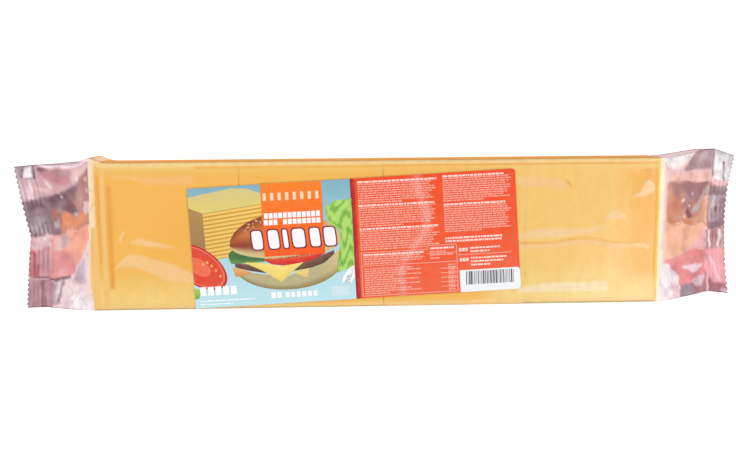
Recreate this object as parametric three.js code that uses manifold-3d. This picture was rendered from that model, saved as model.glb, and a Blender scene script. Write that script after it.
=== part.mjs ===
// A long pack of stacked cheese slices in a clear flow wrap, lying on its back, with a
// printed label on its face. Millimetres, +Z up, the origin at the middle of the
// underside, +X along the pack.
//
// sealed_pack is the wrapped body as one solid: four stacks of square slices side by
// side, and at each end the film drawn down to a flat crimped seal, with a tuck folded
// into each side and the seal's tip cut in teeth. label lies flat on the top face.

import * as THREE from 'three';
import { LoftGeometry } from 'three/addons/geometries/LoftGeometry.js';
import { mergeVertices } from 'three/addons/utils/BufferGeometryUtils.js';
import Module from 'manifold-3d';

// Cheese: nearly square slices lying flat in stacks, the stacks in a row along the pack.
// The slices of a stack lie a little askew, so the stacks differ in length.
const STACK_LENGTHS = [87.6, 85.3, 85.8, 82.3];
const STACK_GAP = 0.5;
const SLICE_WIDTH = 87;
const SLICE_THICKNESS = 1.6;
const SLICES_PER_STACK = 22;
const WRAP_ALLOWANCE = 1;

// Wrapped body.
const BODY_LENGTH = STACK_LENGTHS.reduce((sum, length) => sum + length + STACK_GAP, -STACK_GAP);
const BODY_WIDTH = SLICE_WIDTH + 2 * WRAP_ALLOWANCE;
const BODY_HEIGHT = SLICES_PER_STACK * SLICE_THICKNESS + 0.8;
const EDGE_RADIUS = 2.5;
const SEAM_DEPTH = 0.35;
const SEAM_HALF_WIDTH = 1.2;

// Ends: the film slopes to a seal at mid height. The seal line bows outwards at its
// corners, and each seal lies a little to one side.
const TUCK_WALL = 1.6;
const SEAL_WIDTH = 88;
const SEAL_THICKNESS = 1.2;
const SEAL_HEIGHT = 0.47 * BODY_HEIGHT;
const RIDGES = 5;
const RIDGE_AMPLITUDE = 0.5;
const ENDS = [
  {
    direction: -1, sideShift: -1.7, taperLength: 27, sealLength: 13.6,
    bowPlusY: 8.4, bowMinusY: 5.2,
  },
  {
    direction: 1, sideShift: 2.6, taperLength: 34, sealLength: 13,
    bowPlusY: 4.5, bowMinusY: 4.5,
  },
];

// Toothed cut across each seal's tip.
const TOOTH_PITCH = 3;
const TOOTH_DEPTH = 1.5;
const TRIM_ALLOWANCE = 3;
const CUTTER_HEIGHT = 10;

// Label.
const LABEL_LENGTH = 197.5;
const LABEL_WIDTH = 73.2;
const LABEL_THICKNESS = 0.3;
const LABEL_CORNER_RADIUS = 1.5;
const LABEL_CENTRE = { x: -14, y: -2.75 };
const LABEL_TURN = THREE.MathUtils.degToRad(2.8);

// Sampling of the loft.
const FACE_STEPS = 7;
const CORNER_STEPS = 2;
const TUCK_STEPS = 4;
const TAPER_RINGS = 7;
const RINGS_PER_RIDGE = 4;

const cheeseMaterial = new THREE.MeshStandardMaterial({
  color: 0xf6b45a, roughness: 0.45, metalness: 0,
});
const labelMaterial = new THREE.MeshStandardMaterial({
  color: 0xf0663c, roughness: 0.35, metalness: 0,
});

const lerp = THREE.MathUtils.lerp;
const clamp = THREE.MathUtils.clamp;

// How far an end's seal line stands out at a place across the pack, against its middle.
function bow({ bowPlusY, bowMinusY }, y) {
  return (y > 0 ? bowPlusY : bowMinusY) * (2 * y / SEAL_WIDTH) ** 2;
}

// How deep the side film is tucked in where the pack has sunk to a given height: half
// the film's side height is the long side of a right triangle whose short side is half
// the height left. The tuck closes where the two faces meet.
function tuckDepth(height) {
  const half = BODY_HEIGHT / 2;
  const left = height / 2;
  const open = clamp((height - SEAL_THICKNESS) / (4 * TUCK_WALL), 0, 1);
  return open * Math.sqrt(Math.max(half * half - left * left, 0));
}

// One closed ring of [y, z] points, counterclockwise seen from +X: the underside from
// -Y to +Y, the +Y side, the top back to -Y, and the -Y side. A side is a shallow V
// that reaches in by tuck at mid height; its corners are rounded.
function ringOutline({ width, bottom, top, tuck }) {
  const middle = (bottom + top) / 2;
  const wall = Math.min(TUCK_WALL, (top - bottom) / 4);
  const radius = Math.min(EDGE_RADIUS, (top - bottom) / 2.5);
  const halfWidth = width / 2;
  const halfRing = [];
  for (let i = 0; i <= FACE_STEPS; i++) {
    halfRing.push([lerp(-1, 1, i / FACE_STEPS) * (halfWidth - radius), bottom]);
  }
  for (let i = 1; i <= CORNER_STEPS; i++) {
    const angle = (i / CORNER_STEPS) * Math.PI / 2;
    const rise = Math.min(radius, wall) * (1 - Math.cos(angle));
    halfRing.push([halfWidth - radius + radius * Math.sin(angle), bottom + rise]);
  }
  const mouth = bottom + Math.min(radius, wall);
  for (let i = 1; i < TUCK_STEPS; i++) {
    const inward = i / TUCK_STEPS;
    halfRing.push([halfWidth - tuck * inward, lerp(mouth, middle, inward)]);
  }
  const apex = [halfWidth - tuck, middle];
  const mirrored = halfRing.slice(FACE_STEPS + 1).reverse()
    .map(([y, z]) => [y, bottom + top - z]);
  const rightSide = [...halfRing, apex, ...mirrored];
  const topFace = halfRing.slice(0, FACE_STEPS + 1).reverse()
    .map(([y, z]) => [y, bottom + top - z]);
  const leftSide = [...halfRing.slice(FACE_STEPS + 1), apex, ...mirrored].reverse()
    .map(([y, z]) => [-y, z]);
  return [...rightSide, ...topFace, ...leftSide];
}

// The ring at one station of an end. run goes from 0 at the body to 1 at the seal, and
// on to 2 at the seal's tip; the stations follow the bowed seal line.
function endRing(end, run) {
  const { direction, sideShift, taperLength, sealLength } = end;
  const taper = Math.min(run, 1);
  const along = Math.max(run - 1, 0);
  const ease = taper * taper * (3 - 2 * taper);
  const sealRun = along * (sealLength + TRIM_ALLOWANCE);
  const ripple = RIDGE_AMPLITUDE * Math.sin((sealRun / sealLength) * RIDGES * 2 * Math.PI);
  const centre = lerp(BODY_HEIGHT / 2, SEAL_HEIGHT, ease) + ripple;
  const height = lerp(BODY_HEIGHT, SEAL_THICKNESS, 0.75 * taper + 0.25 * ease);
  const outline = ringOutline({
    width: lerp(BODY_WIDTH, SEAL_WIDTH, ease),
    bottom: centre - height / 2,
    top: centre + height / 2,
    tuck: tuckDepth(height),
  });
  const reach = BODY_LENGTH / 2 + taper * taperLength + sealRun;
  return outline.map(([y, z]) => new THREE.Vector3(
    direction * (reach + taper * bow(end, y)),
    y + sideShift * ease,
    z,
  ));
}

// The body's ring at a place along it, drawn in a little where two stacks meet.
function bodyRing(x, inset) {
  const outline = ringOutline({
    width: BODY_WIDTH - 2 * inset,
    bottom: 0,
    top: BODY_HEIGHT,
    tuck: 0,
  });
  return outline.map(([y, z]) => {
    const onTop = z > BODY_HEIGHT - 1e-6;
    return new THREE.Vector3(x, y, onTop ? z - inset : z);
  });
}

function endRings(end) {
  const rings = [];
  for (let i = 1; i <= TAPER_RINGS; i++) {
    rings.push(endRing(end, i / TAPER_RINGS));
  }
  const sealRings = Math.ceil(RIDGES * RINGS_PER_RIDGE * (1 + TRIM_ALLOWANCE / end.sealLength));
  for (let i = 1; i <= sealRings; i++) {
    rings.push(endRing(end, 1 + i / sealRings));
  }
  return rings;
}

function bodyRings() {
  const rings = [bodyRing(-BODY_LENGTH / 2, 0)];
  let stackStart = -BODY_LENGTH / 2;
  for (const length of STACK_LENGTHS.slice(0, -1)) {
    const seam = stackStart + length + STACK_GAP / 2;
    rings.push(bodyRing(seam - SEAM_HALF_WIDTH, 0));
    rings.push(bodyRing(seam, SEAM_DEPTH));
    rings.push(bodyRing(seam + SEAM_HALF_WIDTH, 0));
    stackStart += length + STACK_GAP;
  }
  rings.push(bodyRing(BODY_LENGTH / 2, 0));
  return rings;
}

// A prism that takes away all past a toothed line, which follows the seal's bow.
function tipCutter(end) {
  const tip = BODY_LENGTH / 2 + end.taperLength + end.sealLength;
  const teeth = Math.ceil(SEAL_WIDTH / TOOTH_PITCH) + 4;
  const far = tip + Math.max(end.bowPlusY, end.bowMinusY) + 4 * TRIM_ALLOWANCE;
  const start = -teeth * TOOTH_PITCH / 2;
  const shape = new THREE.Shape();
  shape.moveTo(far, start);
  for (let i = 0; i <= 2 * teeth; i++) {
    const y = start + i * TOOTH_PITCH / 2;
    const notch = i % 2 === 0 ? TOOTH_DEPTH : 0;
    shape.lineTo(tip + bow(end, y) - notch, y);
  }
  shape.lineTo(far, -start);
  const cutter = new THREE.ExtrudeGeometry(shape, {
    depth: CUTTER_HEIGHT, bevelEnabled: false,
  });
  if (end.direction < 0) {
    cutter.rotateY(Math.PI);
    cutter.translate(0, 0, CUTTER_HEIGHT);
  }
  return cutter.translate(0, end.sideShift, SEAL_HEIGHT - CUTTER_HEIGHT / 2);
}

function toManifold(wasm, geometry) {
  const bare = new THREE.BufferGeometry();
  bare.setAttribute('position', geometry.attributes.position.clone());
  bare.setIndex(geometry.index);
  const merged = mergeVertices(bare, 1e-4);
  return new wasm.Manifold(new wasm.Mesh({
    numProp: 3,
    vertProperties: merged.attributes.position.array,
    triVerts: new Uint32Array(merged.index.array),
  }));
}

function toGeometry(solid) {
  const mesh = solid.getMesh();
  const geometry = new THREE.BufferGeometry();
  geometry.setAttribute('position', new THREE.BufferAttribute(mesh.vertProperties, 3));
  geometry.setIndex(new THREE.BufferAttribute(mesh.triVerts, 1));
  geometry.computeVertexNormals();
  return geometry;
}

async function sealedPack() {
  const [leftEnd, rightEnd] = ENDS;
  const rings = [...endRings(leftEnd).reverse(), ...bodyRings(), ...endRings(rightEnd)];
  const loft = new LoftGeometry(rings, { capStart: true, capEnd: true });
  const wasm = await Module();
  wasm.setup();
  const trimmed = ENDS.reduce(
    (solid, end) => solid.subtract(toManifold(wasm, tipCutter(end))),
    toManifold(wasm, loft),
  );
  const mesh = new THREE.Mesh(toGeometry(trimmed), cheeseMaterial);
  mesh.name = 'sealed_pack';
  return mesh;
}

// The corners on the -X side are square and the ones on the +X side are round.
function label() {
  const halfLength = LABEL_LENGTH / 2;
  const halfWidth = LABEL_WIDTH / 2;
  const radius = LABEL_CORNER_RADIUS;
  const shape = new THREE.Shape();
  shape.moveTo(-halfLength, -halfWidth);
  shape.lineTo(halfLength - radius, -halfWidth);
  shape.absarc(halfLength - radius, radius - halfWidth, radius, -Math.PI / 2, 0);
  shape.lineTo(halfLength, halfWidth - radius);
  shape.absarc(halfLength - radius, halfWidth - radius, radius, 0, Math.PI / 2);
  shape.lineTo(-halfLength, halfWidth);
  const plate = new THREE.ExtrudeGeometry(shape, {
    depth: LABEL_THICKNESS, bevelEnabled: false, curveSegments: 5,
  });
  const mesh = new THREE.Mesh(plate, labelMaterial);
  mesh.name = 'label';
  mesh.position.set(LABEL_CENTRE.x, LABEL_CENTRE.y, BODY_HEIGHT);
  mesh.rotation.z = LABEL_TURN;
  return mesh;
}

const pack = new THREE.Group();
pack.add(await sealedPack(), label());

// The group is moved so that the origin is at the middle of its length and width.
const extent = new THREE.Box3().setFromObject(pack).getCenter(new THREE.Vector3());
pack.position.set(-extent.x, -extent.y, 0);

export default pack;
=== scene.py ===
"""Looks for a long clear flow-wrapped pack of stacked cheese slices with a printed label.

Lengths are in millimetres until a mesh is written, which turns them to metres. +X runs
along the pack, +Y across it and +Z up, out of the labelled face.
"""

import logging
import math
from dataclasses import dataclass, field
from enum import Enum
from typing import Callable, Sequence

import bmesh
import bpy
import numpy as np
from mathutils import Matrix, Vector

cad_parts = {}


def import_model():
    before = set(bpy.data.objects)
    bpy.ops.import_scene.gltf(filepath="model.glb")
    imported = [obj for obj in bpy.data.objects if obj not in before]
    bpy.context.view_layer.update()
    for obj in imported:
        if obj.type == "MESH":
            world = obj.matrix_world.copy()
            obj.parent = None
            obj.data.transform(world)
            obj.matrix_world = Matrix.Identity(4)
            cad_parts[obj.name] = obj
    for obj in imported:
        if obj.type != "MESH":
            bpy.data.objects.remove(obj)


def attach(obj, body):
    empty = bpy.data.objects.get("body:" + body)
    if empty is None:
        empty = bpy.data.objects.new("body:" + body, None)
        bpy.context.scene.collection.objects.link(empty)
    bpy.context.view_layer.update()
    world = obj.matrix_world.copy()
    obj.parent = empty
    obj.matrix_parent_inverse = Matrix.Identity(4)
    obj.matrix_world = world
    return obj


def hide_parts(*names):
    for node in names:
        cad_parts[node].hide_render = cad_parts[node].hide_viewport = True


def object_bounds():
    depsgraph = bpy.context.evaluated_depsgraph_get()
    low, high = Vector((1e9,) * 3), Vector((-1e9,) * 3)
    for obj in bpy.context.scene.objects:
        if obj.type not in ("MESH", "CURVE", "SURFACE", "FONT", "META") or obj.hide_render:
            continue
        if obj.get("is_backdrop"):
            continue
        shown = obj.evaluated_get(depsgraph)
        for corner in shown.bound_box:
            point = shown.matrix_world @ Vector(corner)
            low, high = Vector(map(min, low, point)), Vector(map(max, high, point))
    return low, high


MM = 0.001
BODY = "root"
LOG = logging.getLogger("cheese_pack")

Array = np.ndarray
Material = bpy.types.Material
Socket = bpy.types.NodeSocket
Span = tuple[float, float]
Box = tuple[float, float, float, float]
Colour = tuple[float, float, float]


def srgb(red: float, green: float, blue: float) -> Colour:
    """Linear colour of a display colour given in 0 to 255.

    Args:
        red: display red.
        green: display green.
        blue: display blue.

    Returns:
        The three linear parts, 0 to 1.
    """
    parts = np.array([red, green, blue]) / 255.0
    linear = np.where(parts <= 0.04045, parts / 12.92, ((parts + 0.055) / 1.055) ** 2.4)
    return tuple(float(part) for part in linear)


def mix(low: Array | float, high: Array | float, share: Array | float) -> Array:
    """Straight blend of numbers, tuples or arrays: low where share is 0 and high where it is 1."""
    low, high = np.asarray(low), np.asarray(high)
    return low + (high - low) * share


def ease(value: Array, start: float, end: float) -> Array:
    """Cubic ease from 0 at start to 1 at end.

    Args:
        value: where to read the step.
        start: the value at which it leaves 0.
        end: the value at which it reaches 1.

    Returns:
        The step, 3k^2 - 2k^3 of the clipped share k of the way from start to end.
    """
    share = np.clip((value - start) / (end - start), 0.0, 1.0)
    return share * share * (3.0 - 2.0 * share)


def bump(distance: Array, width: float) -> Array:
    """Bell curve of a distance: 1 at 0, falling as exp of minus its square over width's square."""
    return np.exp(-((distance / width) ** 2))


# -------------------- meshes


@dataclass
class Surface:
    """Quads on a grid of points: a function of two parameters, read at rows and columns.

    points is rows x columns x 3 in millimetres, and colours is rows x columns x 4 or
    None. A wrapped surface joins its last column to its first.
    """

    points: Array
    colours: Array | None = None
    wrap: bool = False

    def faces(self, start: int) -> Array:
        """Quads of the grid, each going one column on, one row on and one column back.

        Args:
            start: number of the surface's first vertex in the mesh.

        Returns:
            An array of four vertex numbers for each quad.
        """
        rows, columns = self.points.shape[:2]
        numbers = start + np.arange(rows * columns).reshape(rows, columns)
        if self.wrap:
            numbers = np.concatenate([numbers, numbers[:, :1]], axis=1)
        corners = (numbers[:-1, :-1], numbers[:-1, 1:], numbers[1:, 1:], numbers[1:, :-1])
        return np.stack(corners, axis=-1).reshape(-1, 4)


class Piece:
    """A mesh object put together from surfaces and flat polygons."""

    def __init__(self, name: str) -> None:
        """Starts an empty piece.

        Args:
            name: its object's name.
        """
        self.name = name
        self.points: list[Array] = []
        self.colours: list[Array] = []
        self.polygons: list[list[int]] = []
        self.count = 0

    def add(self, surface: Surface) -> None:
        """Adds a grid of quads."""
        self.polygons.extend(surface.faces(self.count).tolist())
        self._add_points(surface.points, surface.colours)

    def add_ring_caps(self, surface: Surface) -> None:
        """Adds a wrapped grid and closes its first and last row with one polygon each.

        Args:
            surface: the grid.
        """
        rows, columns = surface.points.shape[:2]
        first = self.count + np.arange(columns)
        last = self.count + (rows - 1) * columns + np.arange(columns)
        self.add(surface)
        self.polygons.append(first[::-1].tolist())
        self.polygons.append(last.tolist())

    def _add_points(self, points: Array, colours: Array | None) -> None:
        """Keeps a grid's points and colours.

        Args:
            points: the points.
            colours: their colours, or None for white.
        """
        flat = points.reshape(-1, 3)
        self.points.append(flat)
        filled = np.ones((len(flat), 4)) if colours is None else colours.reshape(-1, 4)
        self.colours.append(filled)
        self.count += len(flat)

    def build(self, material: Material, colour_name: str = "", weld: float = 0.0,
              smooth: bool = True) -> bpy.types.Object:
        """Writes the mesh, links its object and gives it a material.

        Args:
            material: the finish of the whole piece.
            colour_name: name of the colour attribute, or nothing for none.
            weld: distance under which vertices are merged, in millimetres.
            smooth: whether the faces are shaded smooth.

        Returns:
            The new object, at the origin.
        """
        mesh = bpy.data.meshes.new(self.name)
        points = np.concatenate(self.points) * MM
        mesh.from_pydata(points.tolist(), [], self.polygons)
        if colour_name:
            layer = mesh.attributes.new(colour_name, "FLOAT_COLOR", "POINT")
            layer.data.foreach_set("color", np.concatenate(self.colours).ravel())
        if weld:
            shell = bmesh.new()
            shell.from_mesh(mesh)
            bmesh.ops.remove_doubles(shell, verts=shell.verts, dist=weld * MM)
            shell.to_mesh(mesh)
            shell.free()
        mesh.polygons.foreach_set("use_smooth", np.full(len(mesh.polygons), smooth))
        mesh.update()
        mesh.materials.append(material)
        made = bpy.data.objects.new(self.name, mesh)
        bpy.context.scene.collection.objects.link(made)
        LOG.info("%s: %d vertices, %d faces", self.name, len(mesh.vertices), len(mesh.polygons))
        return made


# -------------------- finishes


class NodeSheet:
    """A material's node tree, with short ways to add and join nodes."""

    def __init__(self, name: str) -> None:
        """Starts a material that holds one Principled shader and its output.

        Args:
            name: the material's name.
        """
        self.material = bpy.data.materials.new(name)
        self.material.use_nodes = True
        self.tree = self.material.node_tree
        self.shader = self.tree.nodes["Principled BSDF"]

    def add(self, kind: str, **settings: object) -> bpy.types.Node:
        """Adds a node.

        Args:
            kind: the node's type name.
            settings: properties of the node to set.

        Returns:
            The new node.
        """
        node = self.tree.nodes.new(kind)
        for key, value in settings.items():
            setattr(node, key, value)
        return node

    def join(self, source: Socket, target: Socket) -> None:
        """Links an output to an input."""
        self.tree.links.new(source, target)

    def feed(self, source: Socket, *names: str) -> None:
        """Links an output to named inputs of the shader."""
        for name in names:
            self.join(source, self.shader.inputs[name])

    def set(self, **values: object) -> None:
        """Sets shader inputs; an underscore in a keyword stands for a space."""
        for key, value in values.items():
            self.shader.inputs[key.replace("_", " ")].default_value = value

    def object_place(self, scale: Sequence[float] = (1.0, 1.0, 1.0)) -> Socket:
        """Object coordinates times a scale for each axis.

        Args:
            scale: the scale for each axis.

        Returns:
            The scaled place.
        """
        place = self.add("ShaderNodeTexCoord")
        mapping = self.add("ShaderNodeMapping")
        mapping.inputs["Scale"].default_value = scale
        self.join(place.outputs["Object"], mapping.inputs["Vector"])
        return mapping.outputs["Vector"]

    def noise(self, scale: float, detail: float = 3.0,
              stretch: Sequence[float] = (1.0, 1.0, 1.0)) -> Socket:
        """Value of a noise on Object coordinates.

        Args:
            scale: features to the metre.
            detail: octaves of finer noise.
            stretch: extra scale for each axis.

        Returns:
            The noise's value output.
        """
        noise = self.add("ShaderNodeTexNoise")
        noise.inputs["Scale"].default_value = scale
        noise.inputs["Detail"].default_value = detail
        self.join(self.object_place(stretch), noise.inputs["Vector"])
        return noise.outputs["Fac"]

    def remap(self, value: Socket, source: Span, target: Span) -> Socket:
        """A value brought from one range to another, clipped to it.

        Args:
            value: the value.
            source: the range it comes from.
            target: the range it is brought to.

        Returns:
            The new value.
        """
        node = self.add("ShaderNodeMapRange")
        node.inputs["From Min"].default_value, node.inputs["From Max"].default_value = source
        node.inputs["To Min"].default_value, node.inputs["To Max"].default_value = target
        self.join(value, node.inputs["Value"])
        return node.outputs["Result"]

    def math(self, operation: str, first: Socket, second: Socket | float) -> Socket:
        """Two values put together by a Math node's operation.

        Args:
            operation: the node's operation.
            first: its first value.
            second: its second value, linked or fixed.

        Returns:
            The result.
        """
        node = self.add("ShaderNodeMath", operation=operation)
        self.join(first, node.inputs[0])
        if isinstance(second, float):
            node.inputs[1].default_value = second
        else:
            self.join(second, node.inputs[1])
        return node.outputs["Value"]

    def tint(self, base: Socket | Colour, over: Colour, share: Socket) -> Socket:
        """A base colour blended towards another by a share.

        Args:
            base: the colour at share 0, linked or fixed.
            over: the colour at share 1.
            share: the share.

        Returns:
            The blended colour.
        """
        node = self.add("ShaderNodeMix", data_type="RGBA")
        if isinstance(base, tuple):
            node.inputs["A"].default_value = (*base, 1.0)
        else:
            self.join(base, node.inputs["A"])
        node.inputs["B"].default_value = (*over, 1.0)
        self.join(share, node.inputs["Factor"])
        return node.outputs["Result"]

    def relief(self, height: Socket, depth: float, strength: float) -> None:
        """Bumps the surface by a height value; depth is in metres.

        Args:
            height: the height value.
            depth: how deep a height of 1 is.
            strength: share of the bump that shows.
        """
        node = self.add("ShaderNodeBump")
        node.inputs["Distance"].default_value = depth
        node.inputs["Strength"].default_value = strength
        self.join(height, node.inputs["Height"])
        self.feed(node.outputs["Normal"], "Normal")


@dataclass(frozen=True)
class CheeseFinish:
    """Smooth processed cheese: satin, even yellow-orange, a little deeper in patches."""

    colour: Colour = srgb(245, 195, 87)
    deep: Colour = srgb(241, 182, 72)
    roughness: float = 0.4

    def material(self) -> Material:
        """Builds the material.

        Returns:
            The material.
        """
        sheet = NodeSheet("cheese")
        patches = sheet.remap(sheet.noise(22.0, 2.0), (0.35, 0.7), (0.0, 0.55))
        colour = sheet.tint(self.colour, self.deep, patches)
        sheet.feed(colour, "Base Color")
        sheet.set(Roughness=self.roughness, Coat_Weight=0.6, Coat_Roughness=0.14)
        sheet.relief(sheet.noise(900.0, 2.0), 0.0001, 0.25)
        return sheet.material


@dataclass(frozen=True)
class FilmFinish:
    """Clear glossy wrap. A vertex colour gives its cast and, in alpha, how it veils.

    Where it veils strongly it is duller and crumpled, with thin dark crease lines of
    painted shade. The upright sides, stretched over the slices' edges, are dull and show
    lines of painted shade between the slices.
    """

    name: str = "film"
    attribute: str = "veil"
    roughness: float = 0.14
    gloss_share: float = 0.35
    glow: float = 0.03
    # Colour of the painted shade in the film's crease lines.
    crease: Colour = srgb(132, 92, 104)
    # Colour of the painted shade between the slices seen through the upright sides.
    slice_gap_shade: Colour = srgb(150, 78, 26)
    slice_pitch: float = 0.0016
    first_slice: float = 0.0003

    def lines(self, sheet: NodeSheet, veil: Socket, scale: float,
              width: float, strength: float) -> Socket:
        """Thin lines where a noise passes one half, in patches of the strongly veiled film.

        Args:
            sheet: the material's node tree.
            veil: how strongly the film veils.
            scale: features of the noise to the metre.
            width: how far from one half the noise may be.
            strength: the lines' share where they are strongest.

        Returns:
            The lines' share.
        """
        noise = sheet.noise(scale, 1.2, (1.0, 0.55, 1.0))
        offset = sheet.math("ABSOLUTE", sheet.math("SUBTRACT", noise, 0.5), 0.0)
        line = sheet.remap(offset, (0.0, width), (strength, 0.0))
        patches = sheet.remap(sheet.noise(0.4 * scale, 1.0), (0.44, 0.56), (0.0, 1.0))
        loose = sheet.remap(veil, (0.74, 0.84), (0.0, 1.0))
        return sheet.math("MULTIPLY", sheet.math("MULTIPLY", line, patches), loose)

    def slice_gap_shades(self, sheet: NodeSheet, veil: Socket, sideways: Socket) -> Socket:
        """Painted shade in lines between the slices behind the body's sides, strongest half way between
        two.

        Args:
            sheet: the material's node tree.
            veil: how strongly the film veils, weakly on the tucks and strongly on the sides.
            sideways: how far the film faces to either side.

        Returns:
            The lines' share.
        """
        place = sheet.add("ShaderNodeSeparateXYZ")
        sheet.join(sheet.object_place(), place.inputs[0])
        height = sheet.math("SUBTRACT", place.outputs["Z"], self.first_slice)
        count = sheet.math("DIVIDE", height, self.slice_pitch)
        share = sheet.math("FRACT", count, 0.0)
        middle = sheet.math("ABSOLUTE", sheet.math("SUBTRACT", share, 0.5), 0.0)
        line = sheet.remap(middle, (0.3, 0.5), (0.0, 0.6))
        upright = sheet.remap(sideways, (0.7, 0.95), (0.0, 1.0))
        body = sheet.remap(veil, (0.6, 0.75), (0.0, 1.0))
        return sheet.math("MULTIPLY", line, sheet.math("MULTIPLY", upright, body))

    def material(self) -> Material:
        """Builds the material: the veil's alpha, varied a little, plus a rim of gloss.

        Returns:
            The material.
        """
        sheet = NodeSheet(self.name)
        veil = sheet.add("ShaderNodeAttribute", attribute_name=self.attribute)
        mottle = sheet.remap(sheet.noise(160.0, 4.0, (1.0, 0.6, 1.0)), (0.35, 0.65), (0.9, 1.06))
        body = sheet.math("MULTIPLY", veil.outputs["Alpha"], mottle)
        rim = sheet.add("ShaderNodeFresnel")
        rim.inputs["IOR"].default_value = 1.2
        gloss = sheet.math("MULTIPLY", rim.outputs["Fac"], self.gloss_share)
        total = sheet.math("ADD", body, gloss)
        alpha = sheet.math("MINIMUM", total, 1.0)
        # Thin dark crease lines of painted shade where the film veils strongly.
        crease_shade = self.lines(sheet, veil.outputs["Alpha"], 170.0, 0.03, 0.24)
        colour = sheet.tint(veil.outputs["Color"], self.crease, crease_shade)
        shine = sheet.remap(veil.outputs["Alpha"], (0.55, 0.85), (0.5, 0.15))
        normal = sheet.add("ShaderNodeSeparateXYZ")
        sheet.join(sheet.add("ShaderNodeNewGeometry").outputs["True Normal"], normal.inputs[0])
        sideways = sheet.math("ABSOLUTE", normal.outputs["Y"], 0.0)
        upward = sheet.remap(sideways, (0.7, 0.95), (1.0, 0.0))
        level = sheet.math("MULTIPLY", shine, upward)
        # Painted shade between the slices on the upright sides.
        edges = self.slice_gap_shades(sheet, veil.outputs["Alpha"], sideways)
        colour = sheet.tint(colour, self.slice_gap_shade, edges)
        sheet.feed(level, "Specular IOR Level")
        sheet.feed(colour, "Base Color", "Emission Color")
        sheet.feed(alpha, "Alpha")
        # The faint glow is painted light: the film gives off light in its own cast, standing in for light
        # let through it from the floor.
        sheet.set(Roughness=self.roughness, IOR=1.5, Emission_Strength=self.glow)
        sheet.relief(sheet.noise(120.0, 3.0, (1.0, 0.7, 1.0)), 0.0006, 0.35)
        return sheet.material


@dataclass(frozen=True)
class InkFinish:
    """Printed film: the ink's colour comes from a vertex colour, under a satin gloss."""

    name: str = "ink"
    attribute: str = "ink"
    roughness: float = 0.4

    def material(self) -> Material:
        """Builds the material, with a faint unevenness in the print.

        Returns:
            The material.
        """
        sheet = NodeSheet(self.name)
        ink = sheet.add("ShaderNodeAttribute", attribute_name=self.attribute)
        wear = sheet.remap(sheet.noise(260.0, 4.0), (0.3, 0.7), (0.0, 0.03))
        colour = sheet.tint(ink.outputs["Color"], srgb(255, 250, 245), wear)
        sheet.feed(colour, "Base Color")
        sheet.set(Roughness=self.roughness, Specular_IOR_Level=0.25)
        sheet.relief(sheet.noise(150.0, 3.0), 0.0003, 0.2)
        return sheet.material


@dataclass(frozen=True)
class FloorFinish:
    """Plain white matt floor that glows, so that it shows hardly any shadow."""

    colour: Colour = (0.42, 0.42, 0.42)
    glow: float = 0.82

    def material(self) -> Material:
        """Builds the material.

        Returns:
            The material.
        """
        sheet = NodeSheet("floor")
        sheet.shader.inputs["Base Color"].default_value = (*self.colour, 1.0)
        sheet.set(Roughness=0.9, Specular_IOR_Level=0.1, Emission_Strength=self.glow)
        return sheet.material


# -------------------- sizes


@dataclass(frozen=True)
class End:
    """One end of the wrap: where its seal lies and how far its side film is tucked in.

    The +Y edge stands out by flare next to the body and by crown next to the seal, and is
    drawn in by cut over the seal. The -Y edge stands out by spread at the tip.
    """

    direction: int
    side_shift: float
    taper: float
    seal: float
    bow_plus: float
    bow_minus: float
    tuck_plus: float
    tuck_minus: float
    crown: float
    cut: float
    spread: float
    flare: float = 0.0
    bow_power: float = 2.0

    def reach(self) -> float:
        """How far the tip's corner stands out past the body."""
        return self.taper + self.seal + max(self.bow_plus, self.bow_minus)


@dataclass(frozen=True)
class PackSizes:
    """Sizes of the wrapped body and its ends, placed from the frame's box."""

    low: Array
    high: Array
    stack_lengths: tuple[float, ...] = (87.6, 85.3, 85.8, 82.3)
    stack_gap: float = 0.5
    slice_width: float = 88.2
    slice_pitch: float = 1.6
    slices: int = 22
    wrap: float = 0.4
    height: float = 36.0
    lean: float = 1.5
    label_offset: Span = (-13.94, -3.43)
    label_turn: float = math.radians(2.48)
    label_lift: float = 0.35
    seal_width: float = 88.0
    seal_height: float = 16.9
    left: End = End(-1, -1.7, 27.0, 13.6, 8.4, 5.2, 23.0, 19.5, 0.0, 1.2, 0.4, 3.0, 0.75)
    right: End = End(1, 2.6, 34.0, 13.0, 4.5, 4.5, 20.5, 22.5, 1.4, 4.4, 2.5)

    @property
    def length(self) -> float:
        """Length of the wrapped body between its end faces."""
        return sum(self.stack_lengths) + self.stack_gap * (len(self.stack_lengths) - 1)

    @property
    def width(self) -> float:
        """Width of the wrapped body."""
        return self.slice_width + 2.0 * self.wrap

    def sway(self, level: Array | float) -> Array | float:
        """How far the stacks lean across at a level: not at all at the face, most at the back."""
        return -self.lean * (1.0 - level / self.height)

    @property
    def centre(self) -> Span:
        """Middle of the body, which the box's middle and the ends' reach give.

        Returns:
            The middle along X and across, in millimetres.
        """
        across = self.right.side_shift + self.left.side_shift
        middle = (self.low + self.high) / (2.0 * MM)
        return (
            float(middle[0] + (self.left.reach() - self.right.reach()) / 2.0),
            float(middle[1] - across / 2.0),
        )


# -------------------- cheese


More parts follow.
